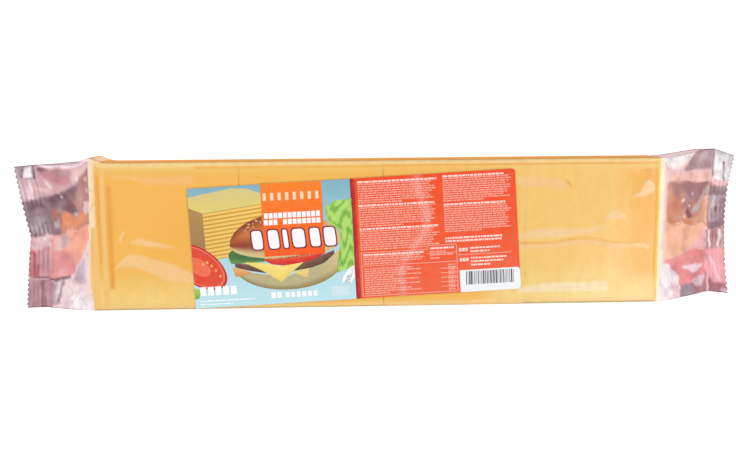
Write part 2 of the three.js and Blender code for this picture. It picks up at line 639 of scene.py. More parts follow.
@dataclass
class CheeseStacks:
    """The stacks of slices inside the wrap, each slice a thin plate with soft edges."""

    sizes: PackSizes
    finish: CheeseFinish = CheeseFinish()
    corner: float = 1.6
    corner_steps: int = 6
    edge_steps: int = 8
    scatter: Span = (0.06, 0.4)
    fill: float = 0.24
    turn: float = math.radians(0.08)
    thickness: float = 1.55
    first_level: float = 0.3
    soft_edge: tuple[Span, ...] = (
        (0.35, 0.0), (0.08, 0.12), (0.0, 0.35), (0.0, 0.65), (0.08, 0.88), (0.35, 1.0),
    )

    def _outline(self, half_length: float, half_width: float) -> Array:
        """A rectangle with round corners, counterclockwise, its long sides cut in steps.

        Each corner is a quarter circle about a point one radius in from both sides, and
        each side runs straight from the end of one quarter to the start of the next.

        Args:
            half_length: half of its size along X.
            half_width: half of its size along Y.

        Returns:
            The points, one row each.
        """
        signs = np.array([[1, 1], [-1, 1], [-1, -1], [1, -1]])
        centres = signs * [half_length - self.corner, half_width - self.corner]
        starts = np.arange(4) * math.pi / 2.0
        angles = starts[:, None] + np.linspace(0.0, math.pi / 2.0, self.corner_steps)
        arcs = centres[:, None, :] + self.corner * np.stack([np.cos(angles), np.sin(angles)], -1)
        following = np.roll(arcs, -1, axis=0)[:, :1, :]
        shares = np.linspace(0.0, 1.0, self.edge_steps + 1)[1:-1, None]
        sides = mix(arcs[:, -1:, :], following, shares[None])
        return np.concatenate([arcs, sides], axis=1).reshape(-1, 2)

    def _slice(self, place: Array, turn: float, half: Span) -> Surface:
        """One slice: the outline drawn in by each step of the soft edge, at its height.

        Args:
            place: middle of its underside.
            turn: how far it is turned, in radians.
            half: half its length and half its width.

        Returns:
            A wrapped surface with one row for each step of the edge.
        """
        outline = self._outline(*half)
        inward = outline / np.linalg.norm(outline, axis=1, keepdims=True)
        steps = np.array(self.soft_edge)
        flat = outline[None] - inward[None] * steps[:, None, :1]
        spin = np.array([[math.cos(turn), math.sin(turn)], [-math.sin(turn), math.cos(turn)]])
        level = np.broadcast_to(steps[:, 1, None, None] * self.thickness, (*flat.shape[:2], 1))
        return Surface(np.concatenate([flat @ spin, level], axis=-1) + place, wrap=True)

    def build(self) -> list[bpy.types.Object]:
        """Builds one piece for each stack.

        Returns:
            The stacks, from -X to +X.
        """
        material = self.finish.material()
        random = np.random.default_rng(22)
        start = self.sizes.centre[0] - self.sizes.length / 2.0
        stacks = []
        for number, length in enumerate(self.sizes.stack_lengths, 1):
            piece = Piece(f"cheese_stack_{number}")
            middle = start + length / 2.0
            half = (length / 2.0 + self.fill - self.scatter[0],
                    self.sizes.slice_width / 2.0 - self.scatter[1])
            for level in range(self.sizes.slices):
                shift = random.uniform(-1.0, 1.0, 2) * self.scatter
                place = np.array([
                    middle + shift[0],
                    self.sizes.centre[1] + shift[1] + self.sizes.sway(level * self.sizes.slice_pitch),
                    self.first_level + level * self.sizes.slice_pitch,
                ])
                piece.add_ring_caps(self._slice(place, random.normal(0.0, self.turn), half))
            stacks.append(piece.build(material, smooth=False))
            start += length + self.sizes.stack_gap
        return stacks


# -------------------- film


Stops = tuple[Span, ...]
Tint = Cast = tuple[float, float, float, float]


def cast(red: float, green: float, blue: float, opacity: float) -> Cast:
    """A cast of the wrap: a display colour made linear, and how far it hides what lies below."""
    return (*srgb(red, green, blue), opacity)


def crumple(out: Array, across: Array, size: float, slope: float, seed: int) -> Array:
    """Crisp random folds of thin film.

    The height is a sum of six triangle waves. Each runs its own way over the panel, is
    0.5 to 1.6 times as long as size, and rises and falls at the same slope.

    Args:
        out: places along the panel.
        across: places across it.
        size: usual length of a wave.
        slope: rise of each wave for each millimetre.
        seed: which set of folds.

    Returns:
        Heights in millimetres, above and below 0.
    """
    random = np.random.default_rng(seed)
    total = np.zeros(np.broadcast(out, across).shape)
    for _ in range(6):
        way = random.uniform(0.0, math.pi)
        length = size * random.uniform(0.5, 1.6)
        phase = random.uniform(0.0, 2.0)
        place = (out * math.cos(way) + across * math.sin(way)) / length + phase
        total = total + slope * length * (np.abs(place % 2.0 - 1.0) - 0.5)
    return total


@dataclass(frozen=True)
class Facet:
    """A field of one tint on a panel, between a lower and an upper edge line.

    The tint is a display colour and an opacity. Each line is given by stops of how far
    out and how far across it is, and is straight from stop to stop. The field runs from
    the later first stop to the earlier last one.
    """

    tint: Tint
    lower: Stops
    upper: Stops
    soft: float = 0.7

    def weight(self, out: Array, across: Array) -> Array:
        """How fully a place lies in the field.

        It is the product of four cubic steps, in past the lower line, the upper line and
        the two ends, each as wide as twice the softness.

        Args:
            out: places along the panel.
            across: places across it.

        Returns:
            0 outside and 1 inside.
        """
        lower, upper = np.array(self.lower).T, np.array(self.upper).T
        start, end = max(lower[0, 0], upper[0, 0]), min(lower[0, -1], upper[0, -1])
        low, high = np.interp(out, *lower), np.interp(out, *upper)
        inside = self._past(across - low) * self._past(high - across)
        return inside * self._past(out - start) * self._past(end - out)

    def _past(self, distance: Array) -> Array:
        """A step from 0 to 1 where a distance goes through 0."""
        return ease(distance, -self.soft, self.soft)


@dataclass(frozen=True)
class Speck:
    """A bright point of light caught in the film."""

    out: float
    across: float
    size: float = 0.7

    def weight(self, out: Array, across: Array) -> Array:
        """Bell curve of the distance from the speck."""
        return bump(np.hypot(out - self.out, across - self.across), self.size)


@dataclass(frozen=True)
class Look:
    """Colours of one panel: its base tint, the facets laid over it in order, and its specks."""

    base: Tint
    facets: tuple[Facet, ...]
    specks: tuple[Speck, ...] = ()
    glint: Cast = cast(255, 246, 240, 0.96)

    def paint(self, out: Array, across: Array) -> Array:
        """Blends each facet over the ones before it by its weight, and the specks last.

        Args:
            out: places along the panel.
            across: places across it.

        Returns:
            The casts at those places.
        """
        colours = np.broadcast_to(cast(*self.base), (*np.broadcast(out, across).shape, 4))
        for facet in self.facets:
            weight = facet.weight(out, across)[..., None]
            colours = mix(colours, cast(*facet.tint), weight)
        for speck in self.specks:
            share = speck.weight(out, across)[..., None]
            colours = mix(colours, self.glint, 0.85 * share)
        return colours


def band(tint: Tint, out: Span, lower: Span, upper: Span, soft: float = 0.7) -> Facet:
    """A field from out[0] to out[1] between two straight lines, each given by its two levels."""
    return Facet(tint, tuple(zip(out, lower)), tuple(zip(out, upper)), soft)


def block(tint: Tint, out: Span, across: Span, soft: float = 0.7) -> Facet:
    """A rectangular field from out[0] to out[1] and from across[0] to across[1]."""
    return band(tint, out, (across[0], across[0]), (across[1], across[1]), soft)


def moved(stops: Stops, rise: float) -> Stops:
    """An edge line moved across by rise."""
    return tuple((out, across + rise) for out, across in stops)


def left_look() -> Look:
    """Casts of the -X end: two tucks, a dark gap over the cheese, and the back's seam.

    Much of this is painted light: the dark gap is painted shade, the orange next to the
    cheese a painted reflection of it, the white lines, patches and specks painted
    highlights and glints, and the thin dark lines painted shade in the folds.

    Returns:
        The look, read by millimetres out and across.
    """
    tuck = ((0, 43), (1.9, 40.9), (4.7, 37.2), (8.6, 33.8), (14.1, 30.2), (20.4, 26.9), (25.9, 24.9),
            (32.4, 23.4), (38.3, 21.5), (41.7, 20.4), (56, 20.2))
    seam = ((0, 9.6), (3.3, 8.2), (7.9, 6.5), (14.1, 4.3), (22, 0.8), (29.8, -1.7), (56, -2))
    fold = ((0, 6), (3, 2), (5.9, -5.1), (7.6, -9.3), (10.6, -14.2), (14.7, -20), (18.9, -25.5),
            (23.6, -26.4), (31.8, -26.9), (56, -26.6))
    top = ((1.3, 44.2), (7.3, 42.6), (19.5, 41.7), (28.8, 41.6), (37.4, 42.3))
    # Facets of painted light: reflections, highlights, glints and shade of the crumpled film.
    return Look((223, 180, 186, 0.84), (
        Facet((143, 107, 115, 0.9), seam, tuck, 1.1),
        Facet((186, 129, 122, 0.88), ((2, 9), (12, 5), (22, 2)),
              ((2, 40), (4.7, 36.6), (8.6, 33), (13, 24), (22, 14)), 2.5),
        Facet((229, 142, 94, 0.9), ((3.9, 10.1), (14.1, 4.6), (23.5, 1.2)),
              ((3.9, 13), (5.9, 15.8), (12.1, 12.7), (19.6, 14.1), (23.5, 9.2)), 1.6),
        Facet((177, 112, 100, 0.9), ((21.5, 6), (30.2, 9.4)), ((21.5, 15), (26.4, 16.9), (30.2, 15.4)), 1),
        Facet((122, 86, 98, 0.92), ((12, 14), (19.6, 14.1), (26.4, 16.9), (31.9, 19.4)),
              ((12, 18), (13.1, 20.5), (19, 25.3), (23.6, 25), (31.1, 22.7)), 0.8),
        Facet((234, 201, 193, 0.86), ((2.9, 16), (5.6, 13.2), (7.4, 15.7)),
              ((2.9, 22.5), (6, 19.7), (7.4, 16.5)), 1.4),
        Facet((188, 176, 174, 0.9), ((24, 5.5), (28.8, 4.7)), ((24, 9.1), (28.5, 8.8)), 0.6),
        Facet((255, 176, 150, 0.9), fold, seam, 1.2),
        Facet((234, 151, 152, 0.88), ((14.7, -20), (18.9, -25.5), (56, -26)),
              ((14.7, -10.7), (21.1, -9.9), (28.2, -8), (30.8, -3), (56, -3)), 2),
        Facet((236, 192, 188, 0.88), ((17.6, -5), (18.6, -7), (28.9, -10.7)),
              ((17.6, -4.3), (21.6, 0.3), (28.9, -2)), 1),
        Facet((247, 222, 225, 0.88), ((0, -50), (31.6, -50)), moved(fold, -0.3), 0.8),
        Facet((201, 183, 193, 0.88), ((7.4, -27), (8.7, -28.6), (15.8, -27.5)),
              ((7.4, -11.9), (11.5, -17.6), (15.8, -24)), 1.5),
        Facet((173, 146, 159, 0.88), ((22.1, -28), (26.2, -42.3), (29.3, -43.6)),
              ((22.1, -27.5), (23.8, -28.4), (29.3, -43)), 0.9),
        block((201, 169, 179, 0.88), (29.5, 34), (-44, -29), 1.4),
        Facet((255, 246, 249, 0.93), ((4.7, -46), (12.3, -46), (16.5, -43)),
              ((4.7, -40), (10.1, -32.8), (16.5, -37.6)), 1.4),
        band((254, 239, 244, 0.92), (12, 20), (-31, -43), (-29.4, -40.6)),
        Facet((122, 72, 84, 0.92), ((18.2, -26.8), (23.6, -28), (31.8, -28.4), (45, -27.4)),
              ((18.2, -24.8), (23.6, -26.4), (31.8, -26.9), (45, -26)), 0.6),
        Facet((223, 176, 181, 0.87), tuck, ((0, 50), (56, 50)), 1.1),
        Facet((203, 135, 145, 0.88), ((14, 33), (20, 30), (27, 31), (36, 37)),
              ((14, 38), (22, 40.4), (30, 40), (36, 41)), 2.2),
        Facet((238, 201, 200, 0.9), ((2.2, 40.6), (6.2, 36.5), (14, 31.5)),
              ((2.2, 41.2), (13.5, 40.6)), 1.4),
        Facet((186, 153, 161, 0.88), ((13.6, 38.2), (19.9, 35.7), (22.8, 37.8)),
              ((13.6, 39), (16.6, 39.4), (22.8, 38.6)), 0.9),
        Facet((141, 93, 107, 0.92), ((30.2, 39), (34.9, 37.3), (37.4, 37.6)), ((30.2, 39.8), (37.4, 41.4))),
        Facet((245, 218, 216, 0.92), ((26.5, 28), (28.9, 28), (32.1, 29.3)),
              ((26.5, 28.6), (27.9, 30.9), (32.1, 33.5)), 0.8),
        Facet((236, 199, 204, 0.9), ((29.5, 26), (32.3, 25.2), (38.1, 26)),
              ((29.5, 28), (38.1, 27.6)), 0.8),
        Facet((254, 244, 247, 0.95), moved(top, -0.8), moved(top, 0.6), 0.5),
        band((212, 171, 179, 0.9), (38.2, 56), (21, 20.4), (52, 52)),
        block((238, 211, 216, 0.9), (40.4, 43.4), (21, 34), 0.8),
        band((179, 153, 163, 0.92), (38.2, 56), (34.4, 33.5), (52, 52), 0.8),
        block((111, 78, 92, 0.92), (38.6, 39.8), (34, 42.5), 0.5),
        band((255, 251, 253, 0.96), (40.8, 44.8), (35.4, 35), (41.4, 41)),
        block((124, 93, 105, 0.92), (45.4, 46.8), (34, 41), 0.5),
        Facet((141, 112, 124, 0.93), ((30.5, -1.6), (56, -0.6)),
              ((30.5, 22.8), (35.7, 21.6), (45.6, 20.2), (56, 20)), 0.8),
        band((118, 86, 100, 0.93), (34, 45), (14.6, 15.6), (19, 19.6), 1.2),
        Facet((160, 140, 150, 0.93), ((31.9, 8.2), (38.8, 0.8), (42, 4)),
              ((31.9, 9.6), (39.6, 11.2), (42, 8)), 0.9),
        band((97, 68, 82, 0.92), (32.5, 41.5), (6.4, -1.6), (8, 0), 0.6),
        band((232, 196, 202, 0.9), (31, 56), (-8.8, -10.2), (-1.8, -1.2), 0.9),
        band((196, 142, 152, 0.91), (31.5, 38.8), (-27, -27), (-9, -9.5)),
        Facet((178, 94, 102, 0.94), ((39.4, -27), (56, -27)),
              ((39.4, -11.5), (43.3, -9.9), (56, -9.9)), 0.8),
        band((186, 140, 150, 0.92), (31.5, 56), (-50, -50), (-28.8, -28)),
        block((150, 92, 102, 0.93), (35.4, 38.8), (-50, -29.2)),
        Facet((255, 220, 195, 0.93), ((0, -46), (2.4, -44), (4.2, -36), (4.9, -28)),
              ((0, 50), (1.9, 50), (2.9, 20), (4.3, -6), (4.9, -24)), 0.6),
        Facet((252, 196, 100, 0.97), ((0, -45), (2, -42), (3.4, -35), (4, -28.5)),
              ((0, 10), (2, 8), (3.3, -8), (4, -27)), 0.6),
    ), (Speck(21, 23.4, 0.8), Speck(12, 14.3, 0.9), Speck(4.2, 33.5), Speck(3.8, 27.6), Speck(10.6, 34.6),
        Speck(34.4, -3.4, 0.9), Speck(5.4, 20.5, 0.6)))


def right_look() -> Look:
    """Casts of the +X end: a folded tuck, a brown gap, a salmon seam and a pale lower fold.

    Much of this is painted light: the pale fold, the white patches and the specks are
    painted highlights and glints, and the brown gap and the dark patches and lines are
    painted shade.

    Returns:
        The look, read by millimetres out and across.
    """
    tuck = ((0, 31), (6.5, 29), (11.2, 30.7), (22.6, 28.6), (33.3, 27.9), (39.9, 27), (58, 26))
    seam = ((0, 5), (6.5, 4.2), (17.4, 2.5), (27.3, 1.3), (37.1, -0.2), (58, -2.4))
    rose = ((0, -18.5), (6.4, -19), (13.6, -17.9), (21.6, -16.4), (28.1, -14.1), (35.7, -14.9), (58, -16.6))
    pale = ((0, -17), (5.7, -20.8), (10.6, -23.2), (15, -27.3), (18.2, -31), (18.6, -50))
    # Facets of painted light: reflections, highlights, glints and shade of the crumpled film.
    return Look((247, 201, 200, 0.84), (
        Facet((216, 137, 103, 0.9), seam, tuck, 1),
        band((179, 118, 109, 0.88), (8, 17.5), (24, 18), (29.5, 29.4), 2.2),
        Facet((170, 109, 107, 0.88), ((18.5, 11), (27, 10.5)), ((18.5, 20), (24, 17), (27, 16)), 1.5),
        Facet((164, 112, 118, 0.92), ((17.5, 24), (18.9, 21.7), (22.4, 17.5), (28.2, 15.8), (34.5, 21.9),
            (38, 26)),
              ((17.5, 29.4), (22.6, 28.2), (38, 27.2)), 0.9),
        Facet((132, 82, 98, 0.92), ((21.2, 7.6), (23.8, 5.6), (26.1, 7.4)),
              ((21.2, 9.2), (23.5, 11.2), (26.1, 8.8)), 0.8),
        Facet((227, 162, 128, 0.9), ((27.2, 2.4), (37.6, 0.2)),
              ((27.2, 3.4), (30.3, 7.7), (36.4, 16.5), (37.6, 15)), 0.9),
        Facet((205, 178, 177, 0.88), ((26.8, 9.8), (30.2, 9.2), (34.8, 16.8), (40, 24.4)),
              ((26.8, 11.6), (29.9, 14.8), (34.5, 22.2), (40, 26.6)), 0.9),
        Facet((255, 194, 159, 0.9), rose, seam, 1),
        Facet((249, 187, 188, 0.88), ((23, -16.2), (31, -14), (38, -14.6)),
              ((23, -13), (31.2, -9), (34.1, -1.6), (38, -1)), 1.6),
        Facet((238, 144, 143, 0.9), ((0, -50), (58, -50)), rose, 0.8),
        Facet((252, 220, 225, 0.9), ((19.6, -25), (22.1, -26.3), (28.9, -28.3), (35.3, -25)),
              ((19.6, -24.2), (25.3, -23.6), (35.3, -23.8)), 0.8),
        Facet((170, 109, 117, 0.9), ((18, -50), (44, -50)),
              ((18, -38), (25.8, -34.4), (31, -36.5), (37.3, -34.6), (44, -38)), 1),
        Facet((158, 140, 148, 0.9), ((17.7, -43), (29.4, -42)),
              ((17.7, -37), (25.8, -34.2), (29.4, -38)), 1),
        Facet((234, 199, 209, 0.9), ((28.3, -34.4), (29.3, -36.4), (34.4, -37.7), (37.1, -33)),
              ((28.3, -33.2), (37.1, -30.5)), 0.8),
        Facet((255, 237, 242, 0.9), ((0, -50), (18.6, -50)), pale, 0.8),
        band((245, 199, 209, 0.88), (11, 18), (-45, -45), (-33, -35), 1.8),
        band((255, 251, 253, 0.94), (5, 13), (-34, -44), (-25, -37), 1.4),
        Facet((249, 201, 202, 0.86), tuck, ((0, 54), (58, 54)), 0.6),
        Facet((254, 199, 186, 0.87), ((8, 29.4), (22.6, 29), (40, 28.2)),
              ((8, 34.5), (22.6, 33.5), (40, 32.5)), 1.4),
        Facet((255, 246, 247, 0.92), ((2, 41), (9.5, 37), (17, 38), (28, 47)), ((2, 54), (28, 54)), 1.8),
        Facet((179, 149, 154, 0.93), ((18.2, 35.2), (22.3, 34.8), (40.2, 34.9)),
              ((18.2, 35.8), (28.1, 47.6), (40.2, 58)), 0.6),
        band((203, 180, 186, 0.92), (30, 35.5), (39, 41), (44, 46), 1.3),
        band((240, 236, 236, 0.93), (40.4, 58), (28.2, 27), (54, 54), 0.6),
        band((214, 204, 208, 0.92), (49.5, 58), (37.5, 35), (54, 54), 1.2),
        block((255, 254, 254, 0.97), (41.4, 45.9), (29, 44)),
        block((141, 109, 122, 0.92), (46.4, 47.5), (26.6, 41), 0.5),
        block((151, 122, 132, 0.92), (39.8, 40.8), (30, 46), 0.5),
        band((249, 192, 197, 0.9), (41, 58), (25.4, 24.8), (28.6, 28)),
        band((146, 114, 122, 0.94), (38, 58), (-1.8, -2), (25.4, 24.6)),
        band((175, 151, 159, 0.93), (38.2, 45.6), (3.1, 3.6), (18, 19.6), 0.8),
        band((210, 196, 202, 0.94), (39.8, 42), (12, 11), (18.4, 18.8), 0.8),
        band((111, 72, 86, 0.94), (41.6, 43.6), (10, 9), (13.2, 12.4), 0.8),
        band((190, 151, 159, 0.92), (45.4, 58), (17.8, 17), (19.2, 18.6), 0.6),
        band((168, 124, 135, 0.92), (46, 58), (8, 7.4), (9.6, 9), 0.6),
        band((194, 140, 148, 0.91), (36.5, 58), (-14.8, -16.2), (-1.8, -2.2), 0.8),
        block((181, 120, 130, 0.92), (41.2, 43.6), (-13, -2.8)),
        block((254, 230, 235, 0.94), (38.8, 40.2), (-14, -2.4), 0.5),
        block((254, 230, 235, 0.94), (45, 46.4), (-14, -3.2), 0.5),
        Facet((249, 173, 181, 0.9), ((37.5, -27), (44.1, -35.6), (58, -36.2)),
              ((37.5, -16), (58, -16.8)), 0.9),
        band((255, 208, 216, 0.92), (40, 47.6), (-22, -36), (-18, -32), 0.8),
        Facet((170, 103, 113, 0.92), ((38, -50), (58, -50)), ((38, -29), (44, -35.8), (58, -37)), 0.9),
        band((245, 196, 204, 0.93), (39.4, 40.8), (-50, -50), (-29, -31), 0.6),
        band((203, 173, 184, 0.92), (48.6, 58), (-50, -50), (-39, -37.4), 0.8),
        band((254, 220, 214, 0.88), (3, 6.2), (-22, -22), (46, 34), 1.4),
        block((255, 249, 239, 0.95), (1.4, 3.6), (-50, 50)),
    ), (Speck(18.6, 16, 1), Speck(24, 13, 0.8), Speck(20.2, 5.6, 0.8), Speck(37.2, 17, 1),
        Speck(37, -1.6, 0.7), Speck(26, 20.6, 0.6)))


def face_look() -> Look:
    """Casts of the body's face: pale where the wrap stands off, darker along its folds.

    Most of this is painted light: the pale bands and the brighter lower corners and right
    side are painted reflections of the lights, the bright lines at the ends are painted
    highlights, and the darker folds and lines are painted shade.

    Returns:
        The look, read by millimetres out and across.
    """
    # pale and strong are painted reflections of the lights on the wrap, the haze casts painted light over
    # the right part and along the top edge, and dark is painted shade near the left end.
    pale, strong = (255, 226, 170, 0.54), (255, 230, 178, 0.6)
    haze_and_sheen, dark = (255, 223, 136, 0.6), (234, 158, 64, 0.55)
    fold = ((84, -6.8), (105.1, -6.5), (120.7, -4), (128.1, -4.1), (143, -7), (161.5, -6.8), (164.4, -8.3))
    return Look((250, 203, 104, 0.26), (
        block((255, 228, 142, 0.66), (-230, -70), (-90, -24), 14),
        block(haze_and_sheen, (78, 150), (-90, 90), 12),
        block((255, 240, 160, 0.58), (64, 230), (-90, -28), 14),
        block(haze_and_sheen, (-230, 230), (38, 90), 5),
        block((249, 190, 84, 0.36), (157, 168.5), (-26, 35), 6),
        block((255, 226, 160, 0.74), (-173, 173), (41.2, 50), 1.4),
        block((255, 230, 164, 0.5), (-173, 173), (-50, -41), 1.6),
        block((255, 226, 184, 0.88), (-173, -168.2), (4, 46), 1.2),
        block((255, 222, 150, 0.5), (-173, -167.4), (-46, 6), 1.2),
        Facet(pale, ((-156.2, -2.9), (-154, -2.9), (-151.5, 3)),
              ((-156.2, -2.5), (-152.9, 4.2), (-151.5, 3.6)), 1.2),
        Facet(pale, ((-149, -3.6), (-142.8, -5.2), (-135.3, -6.5), (-122.5, -7.1)),
              ((-149, -2.6), (-142.6, -0.6), (-135.1, -2.3), (-122.5, -6)), 1.2),
        Facet(pale, ((-160, -20.8), (-155.4, -18.2), (-146.3, -18.3), (-135.9, -22.4), (-128.5, -26.4),
            (-110, -28.6)),
              ((-160, -20), (-153.6, -12.8), (-149, -9.8), (-143, -10.6), (-137, -13), (-129.5, -14.7),
               (-122.8, -17.1), (-110, -24)), 1.2),
        Facet((255, 214, 148, 0.45), ((-159.8, 35.4), (-148.7, 34.5), (-137.6, 31.4), (-108, 31.1)),
              ((-159.8, 36.9), (-148.6, 36.8), (-133.7, 35.9), (-108, 36.4)), 0.8),
        block(dark, (-166.8, -165.8), (-16, 36), 0.6),
        block((255, 222, 150, 0.5), (-165.4, -162.2), (-45, 40), 0.9),
        block((236, 164, 74, 0.42), (-161.4, -158.8), (-31, 31), 1.3),
        Facet(pale, ((82.4, 28.6), (99.8, 27.5), (112.7, 25.5)),
              ((82.4, 33.6), (95.2, 33.9), (107, 32.4), (112.7, 29.5)), 1.2),
        Facet((242, 184, 90, 0.5), ((112, 31), (114, 29), (116.3, 26.5)),
              ((112, 32), (114, 30.3), (116.3, 27.5)), 0.8),
        Facet(strong, ((153.2, 20.5), (159.6, 20.9), (167, 24.3)),
              ((153.2, 21.4), (157.7, 24.1), (160.3, 29.5), (163, 31.3), (167, 28)), 1.2),
        Facet(strong, ((136.1, 7.6), (150.4, 7.2)),
              ((136.1, 8.3), (142.4, 12.8), (148.9, 10.4), (150.4, 7.9)), 1.2),
        Facet(strong, ((84, -4.4), (100.5, -3.7), (114.3, -2.9), (128, -1.3), (136.2, 2.4)),
              ((84, -0.9), (95.8, 1.9), (109.5, 2.7), (124.3, 1.1), (136.2, 3.4)), 1.2),
        Facet(pale, moved(fold, -3.4), fold, 1),
        Facet((243, 190, 88, 0.36), moved(fold, -0.5), moved(fold, 0.5), 1),
        Facet((255, 242, 200, 0.72), ((84, -37), (139.7, -36.9)),
              ((84, -34.4), (101, -31.6), (114.9, -30.9), (124.2, -31.5), (137.2, -30.3),
               (139.7, -31.3)), 1.2),
        block((248, 176, 82, 0.5), (161.8, 164.6), (32, 38.5), 1.6),
        block((255, 228, 146, 0.6), (78, 169), (38.6, 41.4), 1),
        block((247, 188, 86, 0.5), (-110, 169), (40.8, 41.8), 0.6),
        band((248, 226, 222, 0.9), (-171.6, -169.9), (24, 43), (50, 50), 0.6),
        block((255, 218, 118, 0.8), (168.2, 173), (-46, 46), 0.9),
        block((255, 243, 200, 0.92), (169.8, 173), (-46, 46)),
        band((255, 242, 238, 0.92), (170, 172), (-50, -50), (-38, -26), 0.6),
    ))


@dataclass(frozen=True)
class Rings:
    """Stations of the tube's rings, one row each.

    direction is -1 or 1 for the end that a ring belongs to, body is the place of the
    ring's foot along the body, and taper and seal go from 0 to 1.
    """

    direction: Array
    body: Array
    taper: Array
    seal: Array


@dataclass
class FilmWrap:
    """The clear wrap: one tube round the stacks, tucked in and crimped flat at each end.

    Every ring of the tube has the same points: the back from -Y to +Y, the +Y side from
    the back to the face, the face from +Y to -Y and the -Y side from the face to the
    back. A ring's width, height and tuck depend on its station along the pack.
    """

    sizes: PackSizes
    left: Look = field(default_factory=left_look)
    right: Look = field(default_factory=right_look)
    face: Look = field(default_factory=face_look)
    tuck_cast: Cast = cast(232, 192, 196, 0.4)
    back_cast: Cast = cast(206, 158, 160, 0.5)
    cheese_reflection_cast: Cast = cast(222, 150, 104, 0.6)
    side_cast: Cast = cast(242, 172, 92, 0.82)
    shoulder_shade_cast: Cast = cast(222, 148, 84, 0.86)
    under_cast: Cast = cast(236, 184, 128, 0.12)
    # Painted highlight and painted shade for the ends' folds, the seal's crests and hollows and the tip.
    fold_highlight_cast: Cast = cast(255, 244, 246, 0.94)
    shade_cast: Cast = cast(128, 92, 104, 0.94)
    look_inset: float = 2.0
    finish: FilmFinish = FilmFinish()
    outer_steps: int = 20
    middle_steps: int = 40
    taper_rings: int = 38
    label_span: Span = (-112.0, 80.0)
    body_rings: tuple[int, int, int] = (66, 44, 100)
    ridges: int = 5
    rings_per_ridge: int = 6
    ridge_height: float = 0.32
    tooth_depth: float = 0.9
    corner: float = 1.3
    layer_gap: float = 0.09
    fold_size: float = 11.0
    fold_slope: float = 0.1

    def rings(self) -> Rings:
        """The rings' stations, closer together where the face isn't under the label.

        Returns:
            One row for each ring, from the -X tip to the +X tip.
        """
        taper = np.linspace(0.0, 1.0, self.taper_rings + 1)[1:]
        seal = np.linspace(0.0, 1.0, self.ridges * self.rings_per_ridge + 1)[1:]
        end_taper = np.concatenate([taper, np.ones_like(seal)])
        end_seal = np.concatenate([np.zeros_like(taper), seal])
        half = self.sizes.length / 2.0
        start, end = self.label_span
        left, middle, right = self.body_rings
        body = np.concatenate([
            np.linspace(-half, start, left), np.linspace(start, end, middle)[1:],
            np.linspace(end, half, right)[1:]])
        still, ends = np.zeros_like(body), np.ones_like(end_taper)
        parts = (
            np.concatenate([-ends, np.where(body < 0, -1.0, 1.0), ends]),
            np.concatenate([-half * ends, body, half * ends]),
            np.concatenate([end_taper[::-1], still, end_taper]),
            np.concatenate([end_seal[::-1], still, end_seal]),
        )
        return Rings(*(part[:, None] for part in parts))

    def pick(self, rings: Rings, name: str) -> Array:
        """An end's size for each ring, from the end that the ring belongs to."""
        left, right = getattr(self.sizes.left, name), getattr(self.sizes.right, name)
        return np.where(rings.direction < 0, left, right)

    def shares(self, rings: Rings) -> Array:
        """Shares across a panel, 0 at -Y and 1 at +Y, with steps that match the tucks.

        Args:
            rings: the rings.

        Returns:
            One row of shares for each ring.
        """
        width = self.sizes.seal_width
        minus = self.pick(rings, "tuck_minus") / width
        plus = self.pick(rings, "tuck_plus") / width
        outer = np.linspace(0.0, 1.0, self.outer_steps + 1)[None]
        middle = np.linspace(0.0, 1.0, self.middle_steps + 1)[None, :-1]
        return np.concatenate([
            outer[:, :-1] * minus,
            mix(minus, 1.0 - plus, middle),
            mix(1.0 - plus, 1.0, outer),
        ], axis=1)

    def ripple(self, rings: Rings, across: Array) -> Array:
        """Height of the crimp: a sine along the seal, stronger and weaker across it.

        Args:
            rings: the rings.
            across: places across the pack.

        Returns:
            Heights in millimetres.
        """
        fade = ease(rings.seal, 0.0, 0.06) * ease(rings.seal, 1.0, 0.94)
        uneven = 0.8 + 0.25 * np.sin(across / 5.3) + 0.2 * np.sin(across / 2.9 + 1.0)
        turn = rings.seal * self.ridges * 2.0 * math.pi + 0.5 * np.sin(across / 9.0)
        return self.ridge_height * np.sin(turn) * fade * uneven

    def levels(self, rings: Rings) -> tuple[Array, Array]:
        """Heights of the back and of the face at each ring.

        Args:
            rings: the rings.

        Returns:
            The back's height and the face's: straight slopes from the body's edges to
            the seal, with the layers a hair apart in the seal and together at its tip.
        """
        gap = 1.5 * self.layer_gap * (1.0 - ease(rings.seal, 0.93, 1.0))
        top = mix(self.sizes.height, self.sizes.seal_height + gap, rings.taper)
        bottom = mix(0.05, self.sizes.seal_height - gap, rings.taper)
        return bottom, top

    def tuck(self, rings: Rings, name: str) -> Array:
        """Depth of a side's tuck: the height of a quarter circle over the taper."""
        return self.pick(rings, name) * np.sqrt(1.0 - (1.0 - rings.taper) ** 2)

    def run(self, rings: Rings, across: Array) -> Array:
        """How far out a point is past the body, to the seal's bow and then over the seal.

        Args:
            rings: the rings.
            across: places across the pack.

        Returns:
            Distances in millimetres.
        """
        bow = np.where(across > 0, self.pick(rings, "bow_plus"), self.pick(rings, "bow_minus"))
        square = (2.0 * across / self.sizes.seal_width) ** 2 + 0.002
        far = square ** (self.pick(rings, "bow_power") / 2.0)
        taper = rings.taper * (self.pick(rings, "taper") + bow * far)
        return taper + rings.seal * self.pick(rings, "seal")

    def folds(self, rings: Rings, across: Array) -> Array:
        """Crisp folds of the ends, which all layers share; none at the body or the tip.

        Args:
            rings: the rings.
            across: places across the pack.

        Returns:
            Heights in millimetres.
        """
        out = self.run(rings, across) * rings.direction
        fade = np.sin(math.pi * np.clip(rings.taper, 0.0, 1.0)) ** 0.7
        in_seal = 0.12 * ease(rings.taper, 0.9, 1.0) * ease(rings.seal, 1.0, 0.9)
        heights = crumple(out, across, self.fold_size, self.fold_slope, 3)
        fine = crumple(out, across, 0.45 * self.fold_size, 0.6 * self.fold_slope, 8)
        return (heights + fine) * np.maximum(fade, in_seal)

